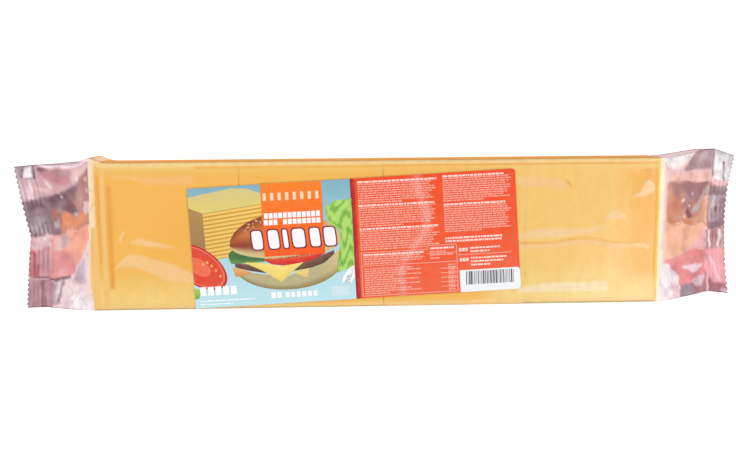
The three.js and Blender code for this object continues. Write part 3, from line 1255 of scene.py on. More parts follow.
    def points(self, rings: Rings, across: Array, level: Array, tooth: Array) -> Array:
        """Points of a panel in the pack's place.

        Args:
            rings: the rings.
            across: places across the pack.
            level: heights.
            tooth: 1 in the columns where the tip is notched and 0 in the others.

        Returns:
            The points; the end lies a little to one side and its tip is notched.
        """
        cut = self.tooth_depth * tooth * ease(rings.seal, 0.9, 1.0)
        x = rings.body + rings.direction * (self.run(rings, across) - cut)
        y = across + self.shift(rings) + self.splay(rings, across)
        centre_x, centre_y = self.sizes.centre
        y = y + self.sizes.sway(level) * (1.0 - rings.taper)
        z = np.maximum(level + self.folds(rings, across) + self.ripple(rings, across), 0.05)
        shape = np.broadcast(x, y, z).shape
        parts = (x + centre_x, y + centre_y, z)
        return np.stack([np.broadcast_to(part, shape) for part in parts], axis=-1)

    def shift(self, rings: Rings) -> Array:
        """How far a ring is moved to one side: a cubic ease down the taper."""
        return self.pick(rings, "side_shift") * ease(rings.taper, 0.0, 1.0)

    def splay(self, rings: Rings, across: Array) -> Array:
        """How far a place near a side edge is moved across by the end's four sizes for it.

        Args:
            rings: the rings.
            across: places across the pack.

        Returns:
            Moves towards +Y, in millimetres.
        """
        out = rings.taper * self.pick(rings, "taper") + np.abs(rings.body) - self.sizes.length / 2.0
        flare = self.pick(rings, "flare") * bump(out, 5.0)
        crown = flare + self.pick(rings, "crown") * ease(rings.taper, 0.2, 0.8)
        plus = (crown - self.pick(rings, "cut") * rings.seal) * ease(across, 20.0, 44.0)
        spread = self.pick(rings, "spread") * mix(0.4 * rings.taper, 1.0, rings.seal)
        return plus - spread * ease(-across, 20.0, 44.0)

    def teeth(self, columns: Array) -> Array:
        """1 in every third column, where the tip is notched, and 0 in the others."""
        return (columns % 3 == 1).astype(float)

    def rounded(self, rings: Rings, across: Array, level: Array, width: Array,
                sign: float) -> tuple[Array, Array]:
        """Rounds a panel's long edges on the body, down to half of a quarter circle.

        Args:
            rings: the rings.
            across: places across the panel.
            level: its heights.
            width: its width.
            sign: -1 for the face and 1 for the back.

        Returns:
            The places across and the heights.
        """
        radius = self.corner * (1.0 - ease(rings.taper, 0.0, 0.4))
        near = np.clip(1.0 - (width / 2.0 - np.abs(across)) / self.corner, 0.0, 1.0)
        inset = radius * (1.0 - math.cos(math.pi / 4.0)) * near
        drop = radius * (1.0 - np.cos(near * math.pi / 4.0))
        return across - np.sign(across) * inset, level + sign * drop

    def _end_casts(self, rings: Rings, across: Array) -> Array:
        """Casts of the face over the ends.

        Each end has its own look, read by how far out and how far across a point is. The
        place it is read at is moved by random folds, and a third set of folds paints
        highlights where it is above 0 and shade where it is below. The seal's crests get
        painted highlights, and its hollows and the tip painted shade.

        Args:
            rings: the rings.
            across: places across the face.

        Returns:
            The casts.
        """
        out, real = self.run(rings, across) + self.look_inset, across + self.shift(rings)
        free = ease(out, 4.0, 9.0) * ease(np.abs(real), 43.0, 36.0)
        warped = (out + free * crumple(out, real, 4.0, 0.16, 21),
                  real + free * crumple(out, real, 5.0, 0.16, 34))
        ends = np.where((rings.direction < 0)[..., None],
                        self.left.paint(*warped), self.right.paint(*warped))
        fold_light_and_shade = ease(out, 4.0, 9.0) * crumple(out, real, 6.0, 0.1, 13)
        turn = rings.seal * self.ridges * 2.0 * math.pi + 0.9 * np.sin(across / 9.0)
        crest = np.sin(turn + 0.6 * np.sin(across / 3.7)) * (rings.seal > 0)
        uneven = np.clip(0.06 + 0.16 * np.sin(across / 4.1 + 1.6 * np.sin(across / 11.0)), 0.0, 1.0)
        # Painted highlights on the seal's crests and raised folds, painted shade in its hollows, the low
        # folds and at the tip.
        pale = np.clip(crest, 0.0, 1.0) * uneven + 0.12 * np.clip(fold_light_and_shade, 0.0, 1.0)
        dark = np.clip(-crest, 0.0, 1.0) * 0.13 + 0.36 * np.clip(-fold_light_and_shade, 0.0, 1.0)
        dark = np.maximum(dark, 0.6 * ease(rings.seal, 0.92, 1.0))
        ends = mix(ends, self.fold_highlight_cast, pale[..., None])
        return mix(ends, self.shade_cast, dark[..., None])

    def _face_panel(self, rings: Rings, top: Array, width: Array) -> tuple[Array, Array]:
        """Points and casts of the face, from -Y to +Y.

        On the body the casts are the face's, and where they are more opaque than the
        base the wrap also stands a little higher.

        Args:
            rings: the rings.
            top: the face's height at each ring.
            width: the wrap's width at each ring.

        Returns:
            The points and the casts.
        """
        share = self.shares(rings)
        across = (share - 0.5) * width
        body_cast = self.face.paint(rings.body + 0.0 * across, across)
        lift = np.where(rings.taper == 0.0, body_cast[..., 3] - self.face.base[3], 0.0)
        sag = 1.5 * np.sin(math.pi * rings.taper) * (1.0 - (2.0 * share - 1.0) ** 2)
        waves = 0.08 * np.sin(rings.body / 13.0 + across / 7.0) * (rings.taper == 0.0)
        level = top + 0.35 * lift + waves - sag
        tooth = self.teeth(np.arange(share.shape[1]))[None]
        casts = np.where((rings.taper > 0.0)[..., None], self._end_casts(rings, across), body_cast)
        across, level = self.rounded(rings, across, level, width, -1.0)
        return self.points(rings, across, level, tooth), casts

    def _back_panel(self, rings: Rings, bottom: Array, width: Array) -> tuple[Array, Array]:
        """Points and casts of the back, from -Y to +Y, with a painted warm reflection of the cheese where
        it faces it.

        Args:
            rings: the rings.
            bottom: the back's height at each ring.
            width: the wrap's width at each ring.

        Returns:
            The points and the casts.
        """
        share = self.shares(rings)
        across = (share - 0.5) * width
        rise = 1.2 * np.sin(math.pi * rings.taper) * (1.0 - (2.0 * share - 1.0) ** 2)
        tooth = self.teeth(np.arange(share.shape[1]))[None]
        # Painted reflection of the cheese in the back's film near the body.
        cheese_reflection = ease(rings.taper, 0.7, 0.2) * ease(np.abs(share - 0.5), 0.4, 0.2)
        ends = mix(self.back_cast, self.cheese_reflection_cast, cheese_reflection[..., None])
        casts = np.where((rings.taper > 0.0)[..., None], ends, np.array(self.under_cast))
        across, level = self.rounded(rings, across, bottom + rise, width, 1.0)
        return self.points(rings, across, level, tooth), casts

    def _side_panel(self, rings: Rings, sign: float, bottom: Array, top: Array,
                    width: Array) -> tuple[Array, Array]:
        """Points and casts of one side, from the back to the face.

        The side goes in a straight line to the tuck's inner edge, half way up, and back
        out again; on the body the tuck is nothing, and the side is upright with its
        upper and lower edges rounded and its cast darker near the face, a painted shade on
        its shoulder.

        Args:
            rings: the rings.
            sign: 1 for the +Y side and -1 for the -Y side.
            bottom: height of the back.
            top: height of the face.
            width: the wrap's width.

        Returns:
            Points without the two corners, and their casts.
        """
        depth = self.tuck(rings, "tuck_plus" if sign > 0 else "tuck_minus")
        steps = np.arange(2 * self.outer_steps + 1)[None, 1:-1]
        share = steps / (2.0 * self.outer_steps)
        inward = 1.0 - np.abs(2.0 * share - 1.0)
        gap = 0.5 * self.layer_gap * (1.0 - ease(rings.seal, 0.93, 1.0))
        sealed = (bottom + top) / 2.0 + np.sign(share - 0.5) * gap
        level = np.where(rings.taper >= 1.0, sealed, mix(bottom, top, share))
        edge = np.minimum(level - bottom, top - level)
        near = np.clip(1.0 - edge / self.corner, 0.0, 1.0) * (rings.taper == 0.0)
        dent = self.corner * (1.0 - np.cos(near * math.pi / 4.0))
        wave = 0.1 * np.sin(rings.body / 9.0 + 5.0 * share) * (rings.taper == 0.0) * inward
        across = sign * (width / 2.0 - depth * inward - dent + wave)
        # Painted shade: the upright side turns darker on its shoulder next to the face.
        upright = mix(self.side_cast, self.shoulder_shade_cast, ease(share, 0.7, 1.0)[..., None])
        casts = np.where((rings.taper > 0.0)[..., None], np.array(self.tuck_cast), upright)
        tooth = self.teeth(np.minimum(steps, 2 * self.outer_steps - steps))
        return self.points(rings, across, level, tooth), casts

    def surface(self) -> Surface:
        """The whole tube, with one row for each ring.

        Returns:
            The tube, each ring closed on itself.
        """
        rings = self.rings()
        bottom, top = self.levels(rings)
        width = mix(self.sizes.width, self.sizes.seal_width, rings.taper)
        back, back_casts = self._back_panel(rings, bottom, width)
        face, face_casts = self._face_panel(rings, top, width)
        plus, plus_casts = self._side_panel(rings, 1.0, bottom, top, width)
        minus, minus_casts = self._side_panel(rings, -1.0, bottom, top, width)
        points = [back, plus, face[:, ::-1], minus[:, ::-1]]
        casts = [back_casts, plus_casts, face_casts[:, ::-1], minus_casts[:, ::-1]]
        return Surface(np.concatenate(points, axis=1), np.concatenate(casts, axis=1), wrap=True)

    def build(self) -> bpy.types.Object:
        """Builds the wrap.

        Returns:
            The wrap's object.
        """
        piece = Piece("film_wrap")
        piece.add(self.surface())
        return piece.build(self.finish.material(), self.finish.attribute, weld=0.001)


@dataclass
class BackSeam:
    """The wrap's long seam: a strip folded flat against the back, seen through the ends."""

    wrap: FilmWrap
    finish: FilmFinish = FilmFinish(name="seam_film")
    edge_at_body: float = 5.0
    edge_at_seal: float = -1.0
    strip_width: float = 22.0
    across_steps: int = 16
    strip_cast: Cast = cast(242, 168, 150, 0.6)

    def build(self) -> bpy.types.Object:
        """Builds the strip just inside the wrap's underside.

        The strip is ruled from its upper edge, which goes straight from the body to the
        seal, to its lower edge a fixed width away, and lies a hair above the back.

        Returns:
            The strip's object.
        """
        wrap, rings = self.wrap, self.wrap.rings()
        bottom, _ = wrap.levels(rings)
        upper = mix(self.edge_at_body, self.edge_at_seal, rings.taper)
        across = upper - self.strip_width * np.linspace(0.0, 1.0, self.across_steps + 1)[None]
        place = across / wrap.sizes.seal_width + 0.5
        rise = 1.2 * np.sin(math.pi * rings.taper) * (1.0 - (2.0 * place - 1.0) ** 2)
        gap = np.where(rings.taper >= 1.0, 0.4 * wrap.layer_gap, 0.12)
        points = wrap.points(rings, across, bottom + rise + gap, np.zeros_like(across))
        casts = np.broadcast_to(np.array(self.strip_cast), (*points.shape[:2], 4))
        piece = Piece("back_seam")
        piece.add(Surface(points, casts))
        return piece.build(self.finish.material(), self.finish.attribute)


# -------------------- label


Curve = Callable[[Array], Array]
Shade = Callable[[Array, Array], Array]


def line(*stops: Span) -> Curve:
    """A curve through a few stops, evened out between them.

    Args:
        stops: places on the label, in order.

    Returns:
        A function of a share of the way, which gives places: straight between the
        stops, each coordinate by linear interpolation.
    """
    places = np.array(stops)
    knots = np.linspace(0.0, 1.0, len(places))

    def read(share: Array) -> Array:
        """Places at shares of the way."""
        return np.stack([np.interp(share, knots, places[:, axis]) for axis in (0, 1)], -1)

    return read


def arch(middle: Span, half: Span, start: float, end: float, lean: float = 0.0) -> Curve:
    """Part of an ellipse, sheared up or down by lean for each millimetre across.

    Args:
        middle: the ellipse's middle.
        half: half its width and half its height; a negative height arches down.
        start: first angle in degrees, 0 at +X.
        end: last angle.
        lean: rise for each millimetre across.

    Returns:
        A function of a share of the way from start to end.
    """

    def read(share: Array) -> Array:
        """Places at shares of the way.

        Args:
            share: the shares.

        Returns:
            The places.
        """
        angle = np.radians(mix(start, end, share))
        across = half[0] * np.cos(angle)
        return np.stack([middle[0] + across, middle[1] + half[1] * np.sin(angle) + lean * across], -1)

    return read


def ramp(*colours: Colour) -> Shade:
    """A shade that runs through a few colours from the lower curve to the upper one.

    Args:
        colours: linear colours, in order.

    Returns:
        A function of the shares along and across a patch.
    """
    stops = np.array(colours)
    knots = np.linspace(0.0, 1.0, len(stops))

    def read(along: Array, across: Array) -> Array:
        """Colours at places on the patch."""
        return np.stack([np.interp(across, knots, stops[:, part]) for part in range(3)], -1)

    return read


@dataclass(frozen=True)
class LabelPlace:
    """Where the label lies, how it waves, and how its print is laid on it."""

    centre: Span
    turn: float
    level: float
    half_length: float = 98.65
    half_width: float = 36.3
    rise: float = 0.75
    stretch: float = 1.0
    lean: float = 1.8
    layer: float = 0.03
    step: float = 1.8

    def fitted(self, curve: "Curve") -> "Curve":
        """A curve moved from a plain rectangle to the label's slightly uneven outline.

        Towards its right end the label rises, grows wider and leans back at the top.
        The rise and the growth go with the share along, and the lean with its square.

        Args:
            curve: a curve on the plain rectangle.

        Returns:
            The moved curve.
        """

        def read(share: Array) -> Array:
            """Places at shares of the way.

            Args:
                share: the shares.

            Returns:
                The places.
            """
            places = curve(share)
            along = (places[..., 0] + self.half_length) / (2.0 * self.half_length)
            across = (places[..., 1] + self.half_width) / (2.0 * self.half_width)
            return np.stack([
                places[..., 0] - self.lean * along ** 2 * across,
                places[..., 1] + along * (self.rise + self.stretch * across),
            ], -1)

        return read

    def height(self, a: Array, b: Array) -> Array:
        """Height of the label's top over the body: slow waves and one crease.

        The waves are two sines of different length and slant. The crease is a bell
        curve of the distance to a line that winds down through the text panel.

        Args:
            a: places along the label.
            b: places across it.

        Returns:
            Heights in millimetres.
        """
        waves = 0.05 * np.sin(a / 17.0 + b / 29.0) + 0.04 * np.sin(a / 31.0 - b / 13.0)
        return self.level + waves + 0.1 * self.crease(a, b)

    def crease(self, a: Array, b: Array) -> Array:
        """1 along the crease and 0 away from it."""
        path = 40.5 + 2.5 * np.sin(b / 7.0) - 16.5 * ease(b, 4.0, -28.0)
        return bump(a - path, 2.2)

    def lay(self, places: Array, layer: int) -> Array:
        """Turns places on the label into points of the pack.

        Args:
            places: an array whose last axis is the place along and across the label.
            layer: how many layers of print lie below.

        Returns:
            The points, in millimetres.
        """
        a, b = places[..., 0], places[..., 1]
        cosine, sine = math.cos(self.turn), math.sin(self.turn)
        x = self.centre[0] + a * cosine - b * sine
        y = self.centre[1] + a * sine + b * cosine
        return np.stack([x, y, self.height(a, b) + layer * self.layer], -1)

    def patch(self, lower: Curve, upper: Curve, shade: Shade, layer: int) -> Surface:
        """A patch of print ruled between two curves.

        A place is the blend of the two curves' places at one share of the way along
        them, by the share of the way across.

        Args:
            lower: the curve at share 0 across.
            upper: the curve at share 1 across.
            shade: its colour.
            layer: how many layers of print lie below.

        Returns:
            The patch, with a step of about self.step.
        """
        probe = np.linspace(0.0, 1.0, 33)
        low, high = lower(probe), upper(probe)
        runs = [np.linalg.norm(np.diff(curve, axis=0), axis=1).sum() for curve in (low, high)]
        gap = np.linalg.norm(high - low, axis=1).max()
        columns = max(2, math.ceil(max(runs) / self.step)) + 1
        rows = max(2, math.ceil(gap / self.step)) + 1
        along = np.linspace(0.0, 1.0, columns)[None]
        across = np.linspace(0.0, 1.0, rows)[:, None]
        places = mix(lower(along[0])[None], upper(along[0])[None], across[..., None])
        return self.inked(places, shade(along + 0 * across, across + 0 * along), layer)

    def inked(self, places: Array, colours: Array, layer: int) -> Surface:
        """A grid of places with its ink, paler along the label's crease: a painted highlight where the
        lights catch the crease.

        Args:
            places: places along and across the label.
            colours: their colours.
            layer: how many layers of print lie below.

        Returns:
            The grid.
        """
        # Painted highlight: the ink is lightened along the crease.
        crease_highlight = 0.16 * self.crease(places[..., 0], places[..., 1])[..., None]
        ink = mix(colours, 0.9, crease_highlight)
        opaque = np.concatenate([ink, np.ones((*ink.shape[:-1], 1))], -1)
        return Surface(self.lay(places, layer), opaque)


@dataclass(frozen=True)
class TextBlock:
    """Lines of small print, each a row of word-length dashes."""

    left: float
    right: float
    top: float
    lines: int
    pitch: float = 1.38
    height: float = 0.74
    heading: bool = True
    ragged: float = 5.0
    last: float = 0.6

    def dashes(self, random: np.random.Generator) -> Array:
        """Boxes of the dashes.

        Each line is a run of words of random length with a gap after each, cut off at
        the line's own end; the heading is taller.

        Args:
            random: source of the word lengths.

        Returns:
            Rows of left, right, bottom, top.
        """
        words = 40
        widths = random.uniform(0.7, 3.6, (self.lines, words))
        ends = np.cumsum(widths + 0.42, axis=1) - 0.42
        starts = ends - widths
        length = self.right - self.left - random.uniform(0.0, self.ragged, self.lines)
        length[-1] *= self.last
        ends = np.minimum(ends, length[:, None])
        keep = starts < ends - 0.4
        row = np.broadcast_to(np.arange(self.lines)[:, None], starts.shape)
        tall = np.where((row == 0) & self.heading, self.height * 1.5, self.height)
        middle = self.top - (row + 0.5) * self.pitch
        boxes = [self.left + starts, self.left + ends, middle - tall / 2.0, middle + tall / 2.0]
        return np.stack([box[keep] for box in boxes], -1)


def letters(box: Box, count: int, gap: float, skip: Sequence[int] = ()) -> Array:
    """Even blocks in a row, where a line of type would be.

    Args:
        box: left, right, bottom and top of the row.
        count: number of blocks.
        gap: space between two.
        skip: blocks left out, as between words.

    Returns:
        Rows of left, right, bottom, top.
    """
    left, right, bottom, top = box
    pitch = (right - left + gap) / count
    number = np.array([index for index in range(count) if index not in skip])
    start = left + number * pitch
    flat = np.ones_like(start)
    return np.stack([start, start + pitch - gap, bottom * flat, top * flat], -1)


class Layer(Enum):
    """Order in which the label's inks lie on each other."""

    FIELD = 0
    GROUND = 1
    BACK = 2
    MIDDLE = 3
    FRONT = 4
    BOX = 5
    OUTLINE = 6
    LETTER = 7


@dataclass
class Label:
    """The printed label: a sheet, and the fields, pictures and dashes printed on it."""

    place: LabelPlace
    finish: InkFinish = InkFinish()
    split: float = -1.8
    stripe: float = 3.0
    code_left: float = 61.8
    code_top: float = -22.9
    corner: float = 1.6
    pieces: list[bpy.types.Object] = field(default_factory=list)

    def __post_init__(self) -> None:
        """Makes the material that all the print shares."""
        self.ink = self.finish.material()

    def _field(self, box: Box, shade: Shade, layer: Layer, corner: float = 0.0) -> Surface:
        """A box of ink fitted to the label's outline, perhaps with round right-hand corners.

        Args:
            box: its left, right, bottom and top.
            shade: its colour.
            layer: which layer it is printed in.
            corner: radius of the corners.

        Returns:
            The patch.
        """
        left, right, bottom, top = box

        def edge(level: float, sign: float) -> Curve:
            """The lower or upper side, bent inwards by the corner's quarter circle.

            Args:
                level: the side's place across.
                sign: -1 for the lower side and 1 for the upper.

            Returns:
                The side, from left to right.
            """

            def read(share: Array) -> Array:
                """Places at shares of the way, much closer together at the corner.

                Args:
                    share: the shares.

                Returns:
                    The places.
                """
                knots = np.array([0.0, 0.93, 0.96, 0.98, 0.99, 1.0])
                stops = np.array([left, right - corner, right - 0.5 * corner,
                                  right - 0.2 * corner, right - 0.06 * corner, right])
                a = np.interp(share, knots, stops)
                over = np.clip(a - (right - corner), 0.0, corner)
                drop = corner - np.sqrt(np.maximum(corner ** 2 - over ** 2, 0.0))
                return np.stack([a, level - sign * drop], -1)

            return read

        fitted = self.place.fitted
        return self.place.patch(fitted(edge(bottom, -1.0)), fitted(edge(top, 1.0)), shade, layer.value)

    def _box(self, box: Box, shade: Shade, layer: Layer) -> Surface:
        """A plain box of ink.

        Args:
            box: its left, right, bottom and top.
            shade: its colour.
            layer: which layer it is printed in.

        Returns:
            The patch.
        """
        left, right, bottom, top = box
        lower, upper = line((left, bottom), (right, bottom)), line((left, top), (right, top))
        return self.place.patch(lower, upper, shade, layer.value)

    def _blocks(self, piece: Piece, boxes: Array, colour: Colour, layer: Layer) -> None:
        """Adds many small boxes of one ink, each cut in four along its length.

        Args:
            piece: the piece they are added to.
            boxes: rows of left, right, bottom, top.
            colour: their ink.
            layer: which layer they are printed in.
        """
        share = np.linspace(0.0, 1.0, 5)
        a = mix(boxes[:, None, 0], boxes[:, None, 1], share[None])
        b = np.stack([boxes[:, 2], boxes[:, 3]], -1)
        grid_a = np.repeat(a[:, None], 2, axis=1)
        grid_b = np.repeat(b[:, :, None], 5, axis=2)
        places = np.stack([grid_a, grid_b], -1)
        ink = np.broadcast_to(np.array(colour), (*places.shape[:3], 3))
        for box, colours in zip(places, ink):
            piece.add(self.place.inked(box, colours, layer.value))

    def _finish(self, piece: Piece) -> None:
        """Builds a piece of the label and keeps it."""
        self.pieces.append(piece.build(self.ink, self.finish.attribute))

    def _patches(self, piece: Piece, *rows: tuple[Curve, Curve, Shade, Layer]) -> None:
        """Adds patches, each given by its lower and upper curve, its shade and its layer."""
        for lower, upper, shade, layer in rows:
            piece.add(self.place.patch(lower, upper, shade, layer.value))

    def _sheet(self) -> None:
        """The sheet: a white top, a back a tenth of a millimetre below and its rim."""
        place = self.place
        white = ramp(srgb(240, 240, 240))
        length, width = place.half_length, place.half_width
        top = self._field((-length, length, -width, width), white, Layer.FIELD, self.corner)
        points = top.points.copy()
        points[..., 2] -= 0.02
        below = points[::-1].copy()
        below[..., 2] -= 0.12
        piece = Piece("label_sheet")
        piece.add(Surface(points, top.colours))
        piece.add(Surface(below, top.colours))
        border = [np.concatenate([grid[0], grid[1:, -1], grid[-1, -2::-1], grid[-2:0:-1, 0]])
                  for grid in (below[::-1], points)]
        piece.add(Surface(np.stack(border), wrap=True))
        self._finish(piece)

    def _fields(self) -> None:
        """Fields of colour: sky, dark stripe, red text panel and the code's white box."""
        place = self.place
        left, right, half = -place.half_length, place.half_length, place.half_width
        panel = self.split + self.stripe
        sky = ramp(srgb(190, 226, 234), srgb(166, 208, 218), srgb(126, 174, 190))
        red = ramp(srgb(236, 96, 58), srgb(238, 78, 26), srgb(238, 72, 18))

        def stripe(along: Array, across: Array) -> Array:
            """Dark at the picture's side and red at the text's side."""
            return mix(srgb(128, 18, 34), srgb(212, 44, 32), along[..., None] ** 0.8)

        piece = Piece("label_fields")
        piece.add(self._field((left, self.split, -half, half), sky, Layer.GROUND))
        piece.add(self._field((self.split, panel, -half, half), stripe, Layer.GROUND))
        piece.add(self._field((panel, right, -half, half), red, Layer.GROUND, self.corner))
        white = ramp(srgb(236, 238, 242), srgb(244, 245, 247))
        code = (self.code_left, right, -half, self.code_top)
        piece.add(self._field(code, white, Layer.BACK, self.corner))
        self._finish(piece)

    def _cheese_picture(self) -> None:
        """A stack of slices seen from a corner: its top, its shaded side and its front."""
        place = self.place
        piece = Piece("label_cheese_picture")
        edge = -place.half_length
        self._patches(
            piece,
            (line((edge, 24.8), (-90.6, 21.1), (-73, 23.2), (-55, 25.1)),
             line((edge, 31.2), (-72.1, 35.4), (-63.8, 34.6), (-55, 31.2)),
             ramp(srgb(222, 202, 110), srgb(214, 196, 132)), Layer.BACK),
            (line((edge, 0.6), (-90.2, -3.2)), line((edge, 24.8), (-90.6, 21.1)),
             ramp(srgb(160, 122, 76), srgb(174, 134, 74)), Layer.BACK))

        def layers(along: Array, across: Array) -> Array:
            """Twelve bright slices with a thin shaded line under each.

            Args:
                along: shares along the patch.
                across: shares across it.

            Returns:
                Their colours.
            """
            from_edge = np.abs((across * 12.0) % 1.0 - 0.5) * 2.0
            line_share = 0.85 * ease(from_edge, 0.4, 0.9)[..., None]
            bright = mix(srgb(240, 196, 98), srgb(248, 204, 100), along[..., None])
            return mix(bright, srgb(176, 122, 36), line_share)

        fine = LabelPlace(place.centre, place.turn, place.level, step=0.45)
        piece.add(fine.patch(
            line((-90.2, -7.7), (-55, -3.7)), line((-90.6, 21.1), (-55, 25.1)),
            layers, Layer.BACK.value))
        self._finish(piece)

    def _burger_picture(self) -> None:
        """A filled bun: lower bun, meat, melted slice, leaf, tomato and the round top."""
        piece = Piece("label_burger_picture")

        def crust(along: Array, across: Array) -> Array:
            """Beige at the rim, red-brown over the left shoulder, light where it shines.

            Args:
                along: shares along the patch.
                across: shares across it.

            Returns:
                Their colours.
            """
            rim = ease(across, 0.3, 0.05)[..., None]
            shine = bump(np.hypot(along - 0.3, across - 0.66), 0.2)[..., None]
            right = ease(along, 0.6, 0.85)[..., None]
            body = mix(srgb(140, 56, 28), srgb(204, 116, 62), shine)
            body = mix(body, srgb(224, 186, 118), right)
            return mix(body, srgb(214, 186, 134), rim)

        def bun(along: Array, across: Array) -> Array:
            """Cream with a shaded underside and a darker right end.

            Args:
                along: shares along the patch.
                across: shares across it.

            Returns:
                Their colours.
            """
            under = ease(across, 0.45, 0.0)[..., None]
            base = mix(srgb(186, 174, 130), srgb(146, 126, 78), under)
            return mix(base, srgb(214, 190, 130), ease(along, 0.7, 1.0)[..., None])

        self._patches(
            piece,
            (arch((-41.6, -12), (32, 15.8), 186, 368),
             line((-73.4, -14.6), (-60, -17), (-43.5, -20), (-34, -17),
                  (-20, -13), (-9.9, -4.4)), bun, Layer.BACK),
            (line((-73.4, -12.4), (-64, -15.2), (-54.3, -17.2)),
             line((-73.4, -9.8), (-61.3, -11.8), (-54.3, -16.2)),
             ramp(srgb(84, 52, 44), srgb(122, 84, 66)), Layer.MIDDLE),
            (line((-39.4, -16.6), (-28.9, -15.4), (-20.2, -12.9), (-13.6, -7.4)),
             line((-38.9, -15.4), (-34.4, -11.8), (-25.1, -9.4), (-13.8, -5.2)),
             ramp(srgb(92, 62, 46), srgb(128, 86, 64)), Layer.MIDDLE),
            (line((-73.6, -18.2), (-69, -18), (-64.4, -16)),
             line((-75, -12.4), (-70, -13.4), (-64.4, -15.6)),
             ramp(srgb(214, 140, 82), srgb(230, 176, 104)), Layer.MIDDLE),
            (line((-38.4, -17.6), (-33, -20.4), (-30.2, -20.8)),
             line((-38.8, -17), (-34, -16.2), (-29.4, -15.2)),
             ramp(srgb(226, 196, 120), srgb(236, 208, 128)), Layer.MIDDLE),
            (line((-77, -6.6), (-75.6, -10.4), (-66, -10.2), (-55.6, -10)),
             line((-76.8, -4), (-74.5, -1.6), (-66, -5.6), (-55.6, -7.8)),
             ramp(srgb(112, 150, 74), srgb(52, 106, 54), srgb(70, 122, 60)), Layer.MIDDLE),
            (arch((-42.6, 0.6), (33.2, -9.2), 180, 0),
             arch((-42.6, 0.6), (33.2, 18.4), 180, 0), crust, Layer.FRONT),
            (line((-55.6, -9.4), (-51.5, -11.8), (-44, -13), (-36.5, -12.8),
                  (-26, -10.2), (-19, -6.6)),
             line((-55.6, -8.2), (-45, -7.9), (-30, -6.6), (-19, -5.2)),
             ramp(srgb(200, 36, 28), srgb(220, 48, 32), srgb(234, 100, 48)), Layer.FRONT),
            (line((-67, -10.4), (-57.6, -15.2), (-46.2, -23), (-39, -16.6), (-32.8, -12)),
             line((-67, -9.8), (-57, -10.6), (-46.5, -13.1), (-40, -12.6), (-32.8, -11.6)),
             ramp(srgb(236, 206, 104), srgb(246, 220, 124)), Layer.BOX))
        self._seeds(piece)
        self._finish(piece)

    def _seeds(self, piece: Piece) -> None:
        """Seeds on the bun's left shoulder: small light and dark dots in a curved band.

        Args:
            piece: the piece they are added to.
        """
        random = np.random.default_rng(7)
        count = 34
        turn = np.radians(random.uniform(112.0, 146.0, count))
        depth = random.uniform(0.8, 0.98, count)
        a = -42.6 + 33.2 * depth * np.cos(turn)
        b = 0.6 + 18.4 * depth * np.sin(turn)
        size = random.uniform(0.3, 0.55, count)
        boxes = np.stack([a - size, a + size, b - 0.6 * size, b + 0.6 * size], -1)
        self._blocks(piece, boxes[::2], srgb(236, 204, 150), Layer.BOX)
        self._blocks(piece, boxes[1::2], srgb(116, 62, 34), Layer.BOX)

    def _salad_picture(self) -> None:
        """A cut tomato at the label's left edge and frilled leaves at the split."""
        place = self.place
        piece = Piece("label_salad_picture")
        middle, lean = (-95.0, -11.0), -0.45
        cut = -place.half_length - middle[0]
        for number, (scale, colour) in enumerate((
                (1, srgb(196, 30, 28)), (0.92, srgb(236, 112, 90)),
                (0.85, srgb(222, 70, 46)), (0.42, srgb(236, 110, 76)))):
            half = (16.4 * scale, 12.6 * scale)
            start = math.degrees(math.acos(max(-1.0, cut / half[0])))
            offset = number * 0.004
            lower = arch(middle, (half[0], -half[1]), start, offset, lean)
            upper = arch(middle, half, start, offset, lean)
            piece.add(place.patch(lower, upper, ramp(colour), Layer.MIDDLE.value + number))
        seeds = letters((-93, -82, -17.5, -16), 5, 1.1)
        seeds[:, 2:] += (0.9 * np.array([8.0, 9.2, 6.8, 3.4, -0.6]))[:, None]
        self._blocks(piece, seeds, srgb(248, 168, 96), Layer.LETTER)

        def frill(along: Array, across: Array) -> Array:
            """Light and dark green ripples that run along the leaf's edge.

            Args:
                along: shares along the patch.
                across: shares across it.

            Returns:
                Their colours.
            """
            wave = np.sin(along * 26.0 + 3.0 * np.sin(across * 7.0))
            return mix(srgb(176, 218, 104), srgb(112, 172, 66), ease(wave, -0.2, 0.9)[..., None])

        self._patches(
            piece,
            (line((self.split, 25.4), (self.split, 10), (self.split, -4), (self.split, -15.4)),
             line((-12, 24.6), (-17.8, 20.6), (-17, 13), (-10, 6), (-9.8, -3),
                  (-12, -12), (-12.8, -19.4)), frill, Layer.BACK),
            (line((-98.7, -30.8), (-96.2, -30.2)), line((-98.7, -23.8), (-94.8, -25.2)),
             ramp(srgb(116, 172, 66), srgb(160, 206, 92)), Layer.MIDDLE))
        self._finish(piece)

    def _title(self) -> None:
        """The orange title box and blank blocks where its words would stand."""
        piece = Piece("label_title")
        orange = ramp(srgb(246, 88, 16), srgb(247, 108, 20), srgb(246, 128, 26))
        piece.add(self._box((-55.5, -19.2, -7.0, 36.9), orange, Layer.BOX))
        white = srgb(250, 248, 250)
        pale = srgb(253, 214, 180)
        self._blocks(piece, letters((-54.4, -21.2, 26.6, 31.2), 8, 2.6), pale, Layer.LETTER)
        self._blocks(piece, letters((-54.3, -21, 15.9, 19.2), 12, 0.55), white, Layer.LETTER)
        self._blocks(piece, letters((-54.6, -20.9, 12, 15.1), 12, 0.55, (3,)), white, Layer.LETTER)
        self._big_blocks(piece)
        self._finish(piece)

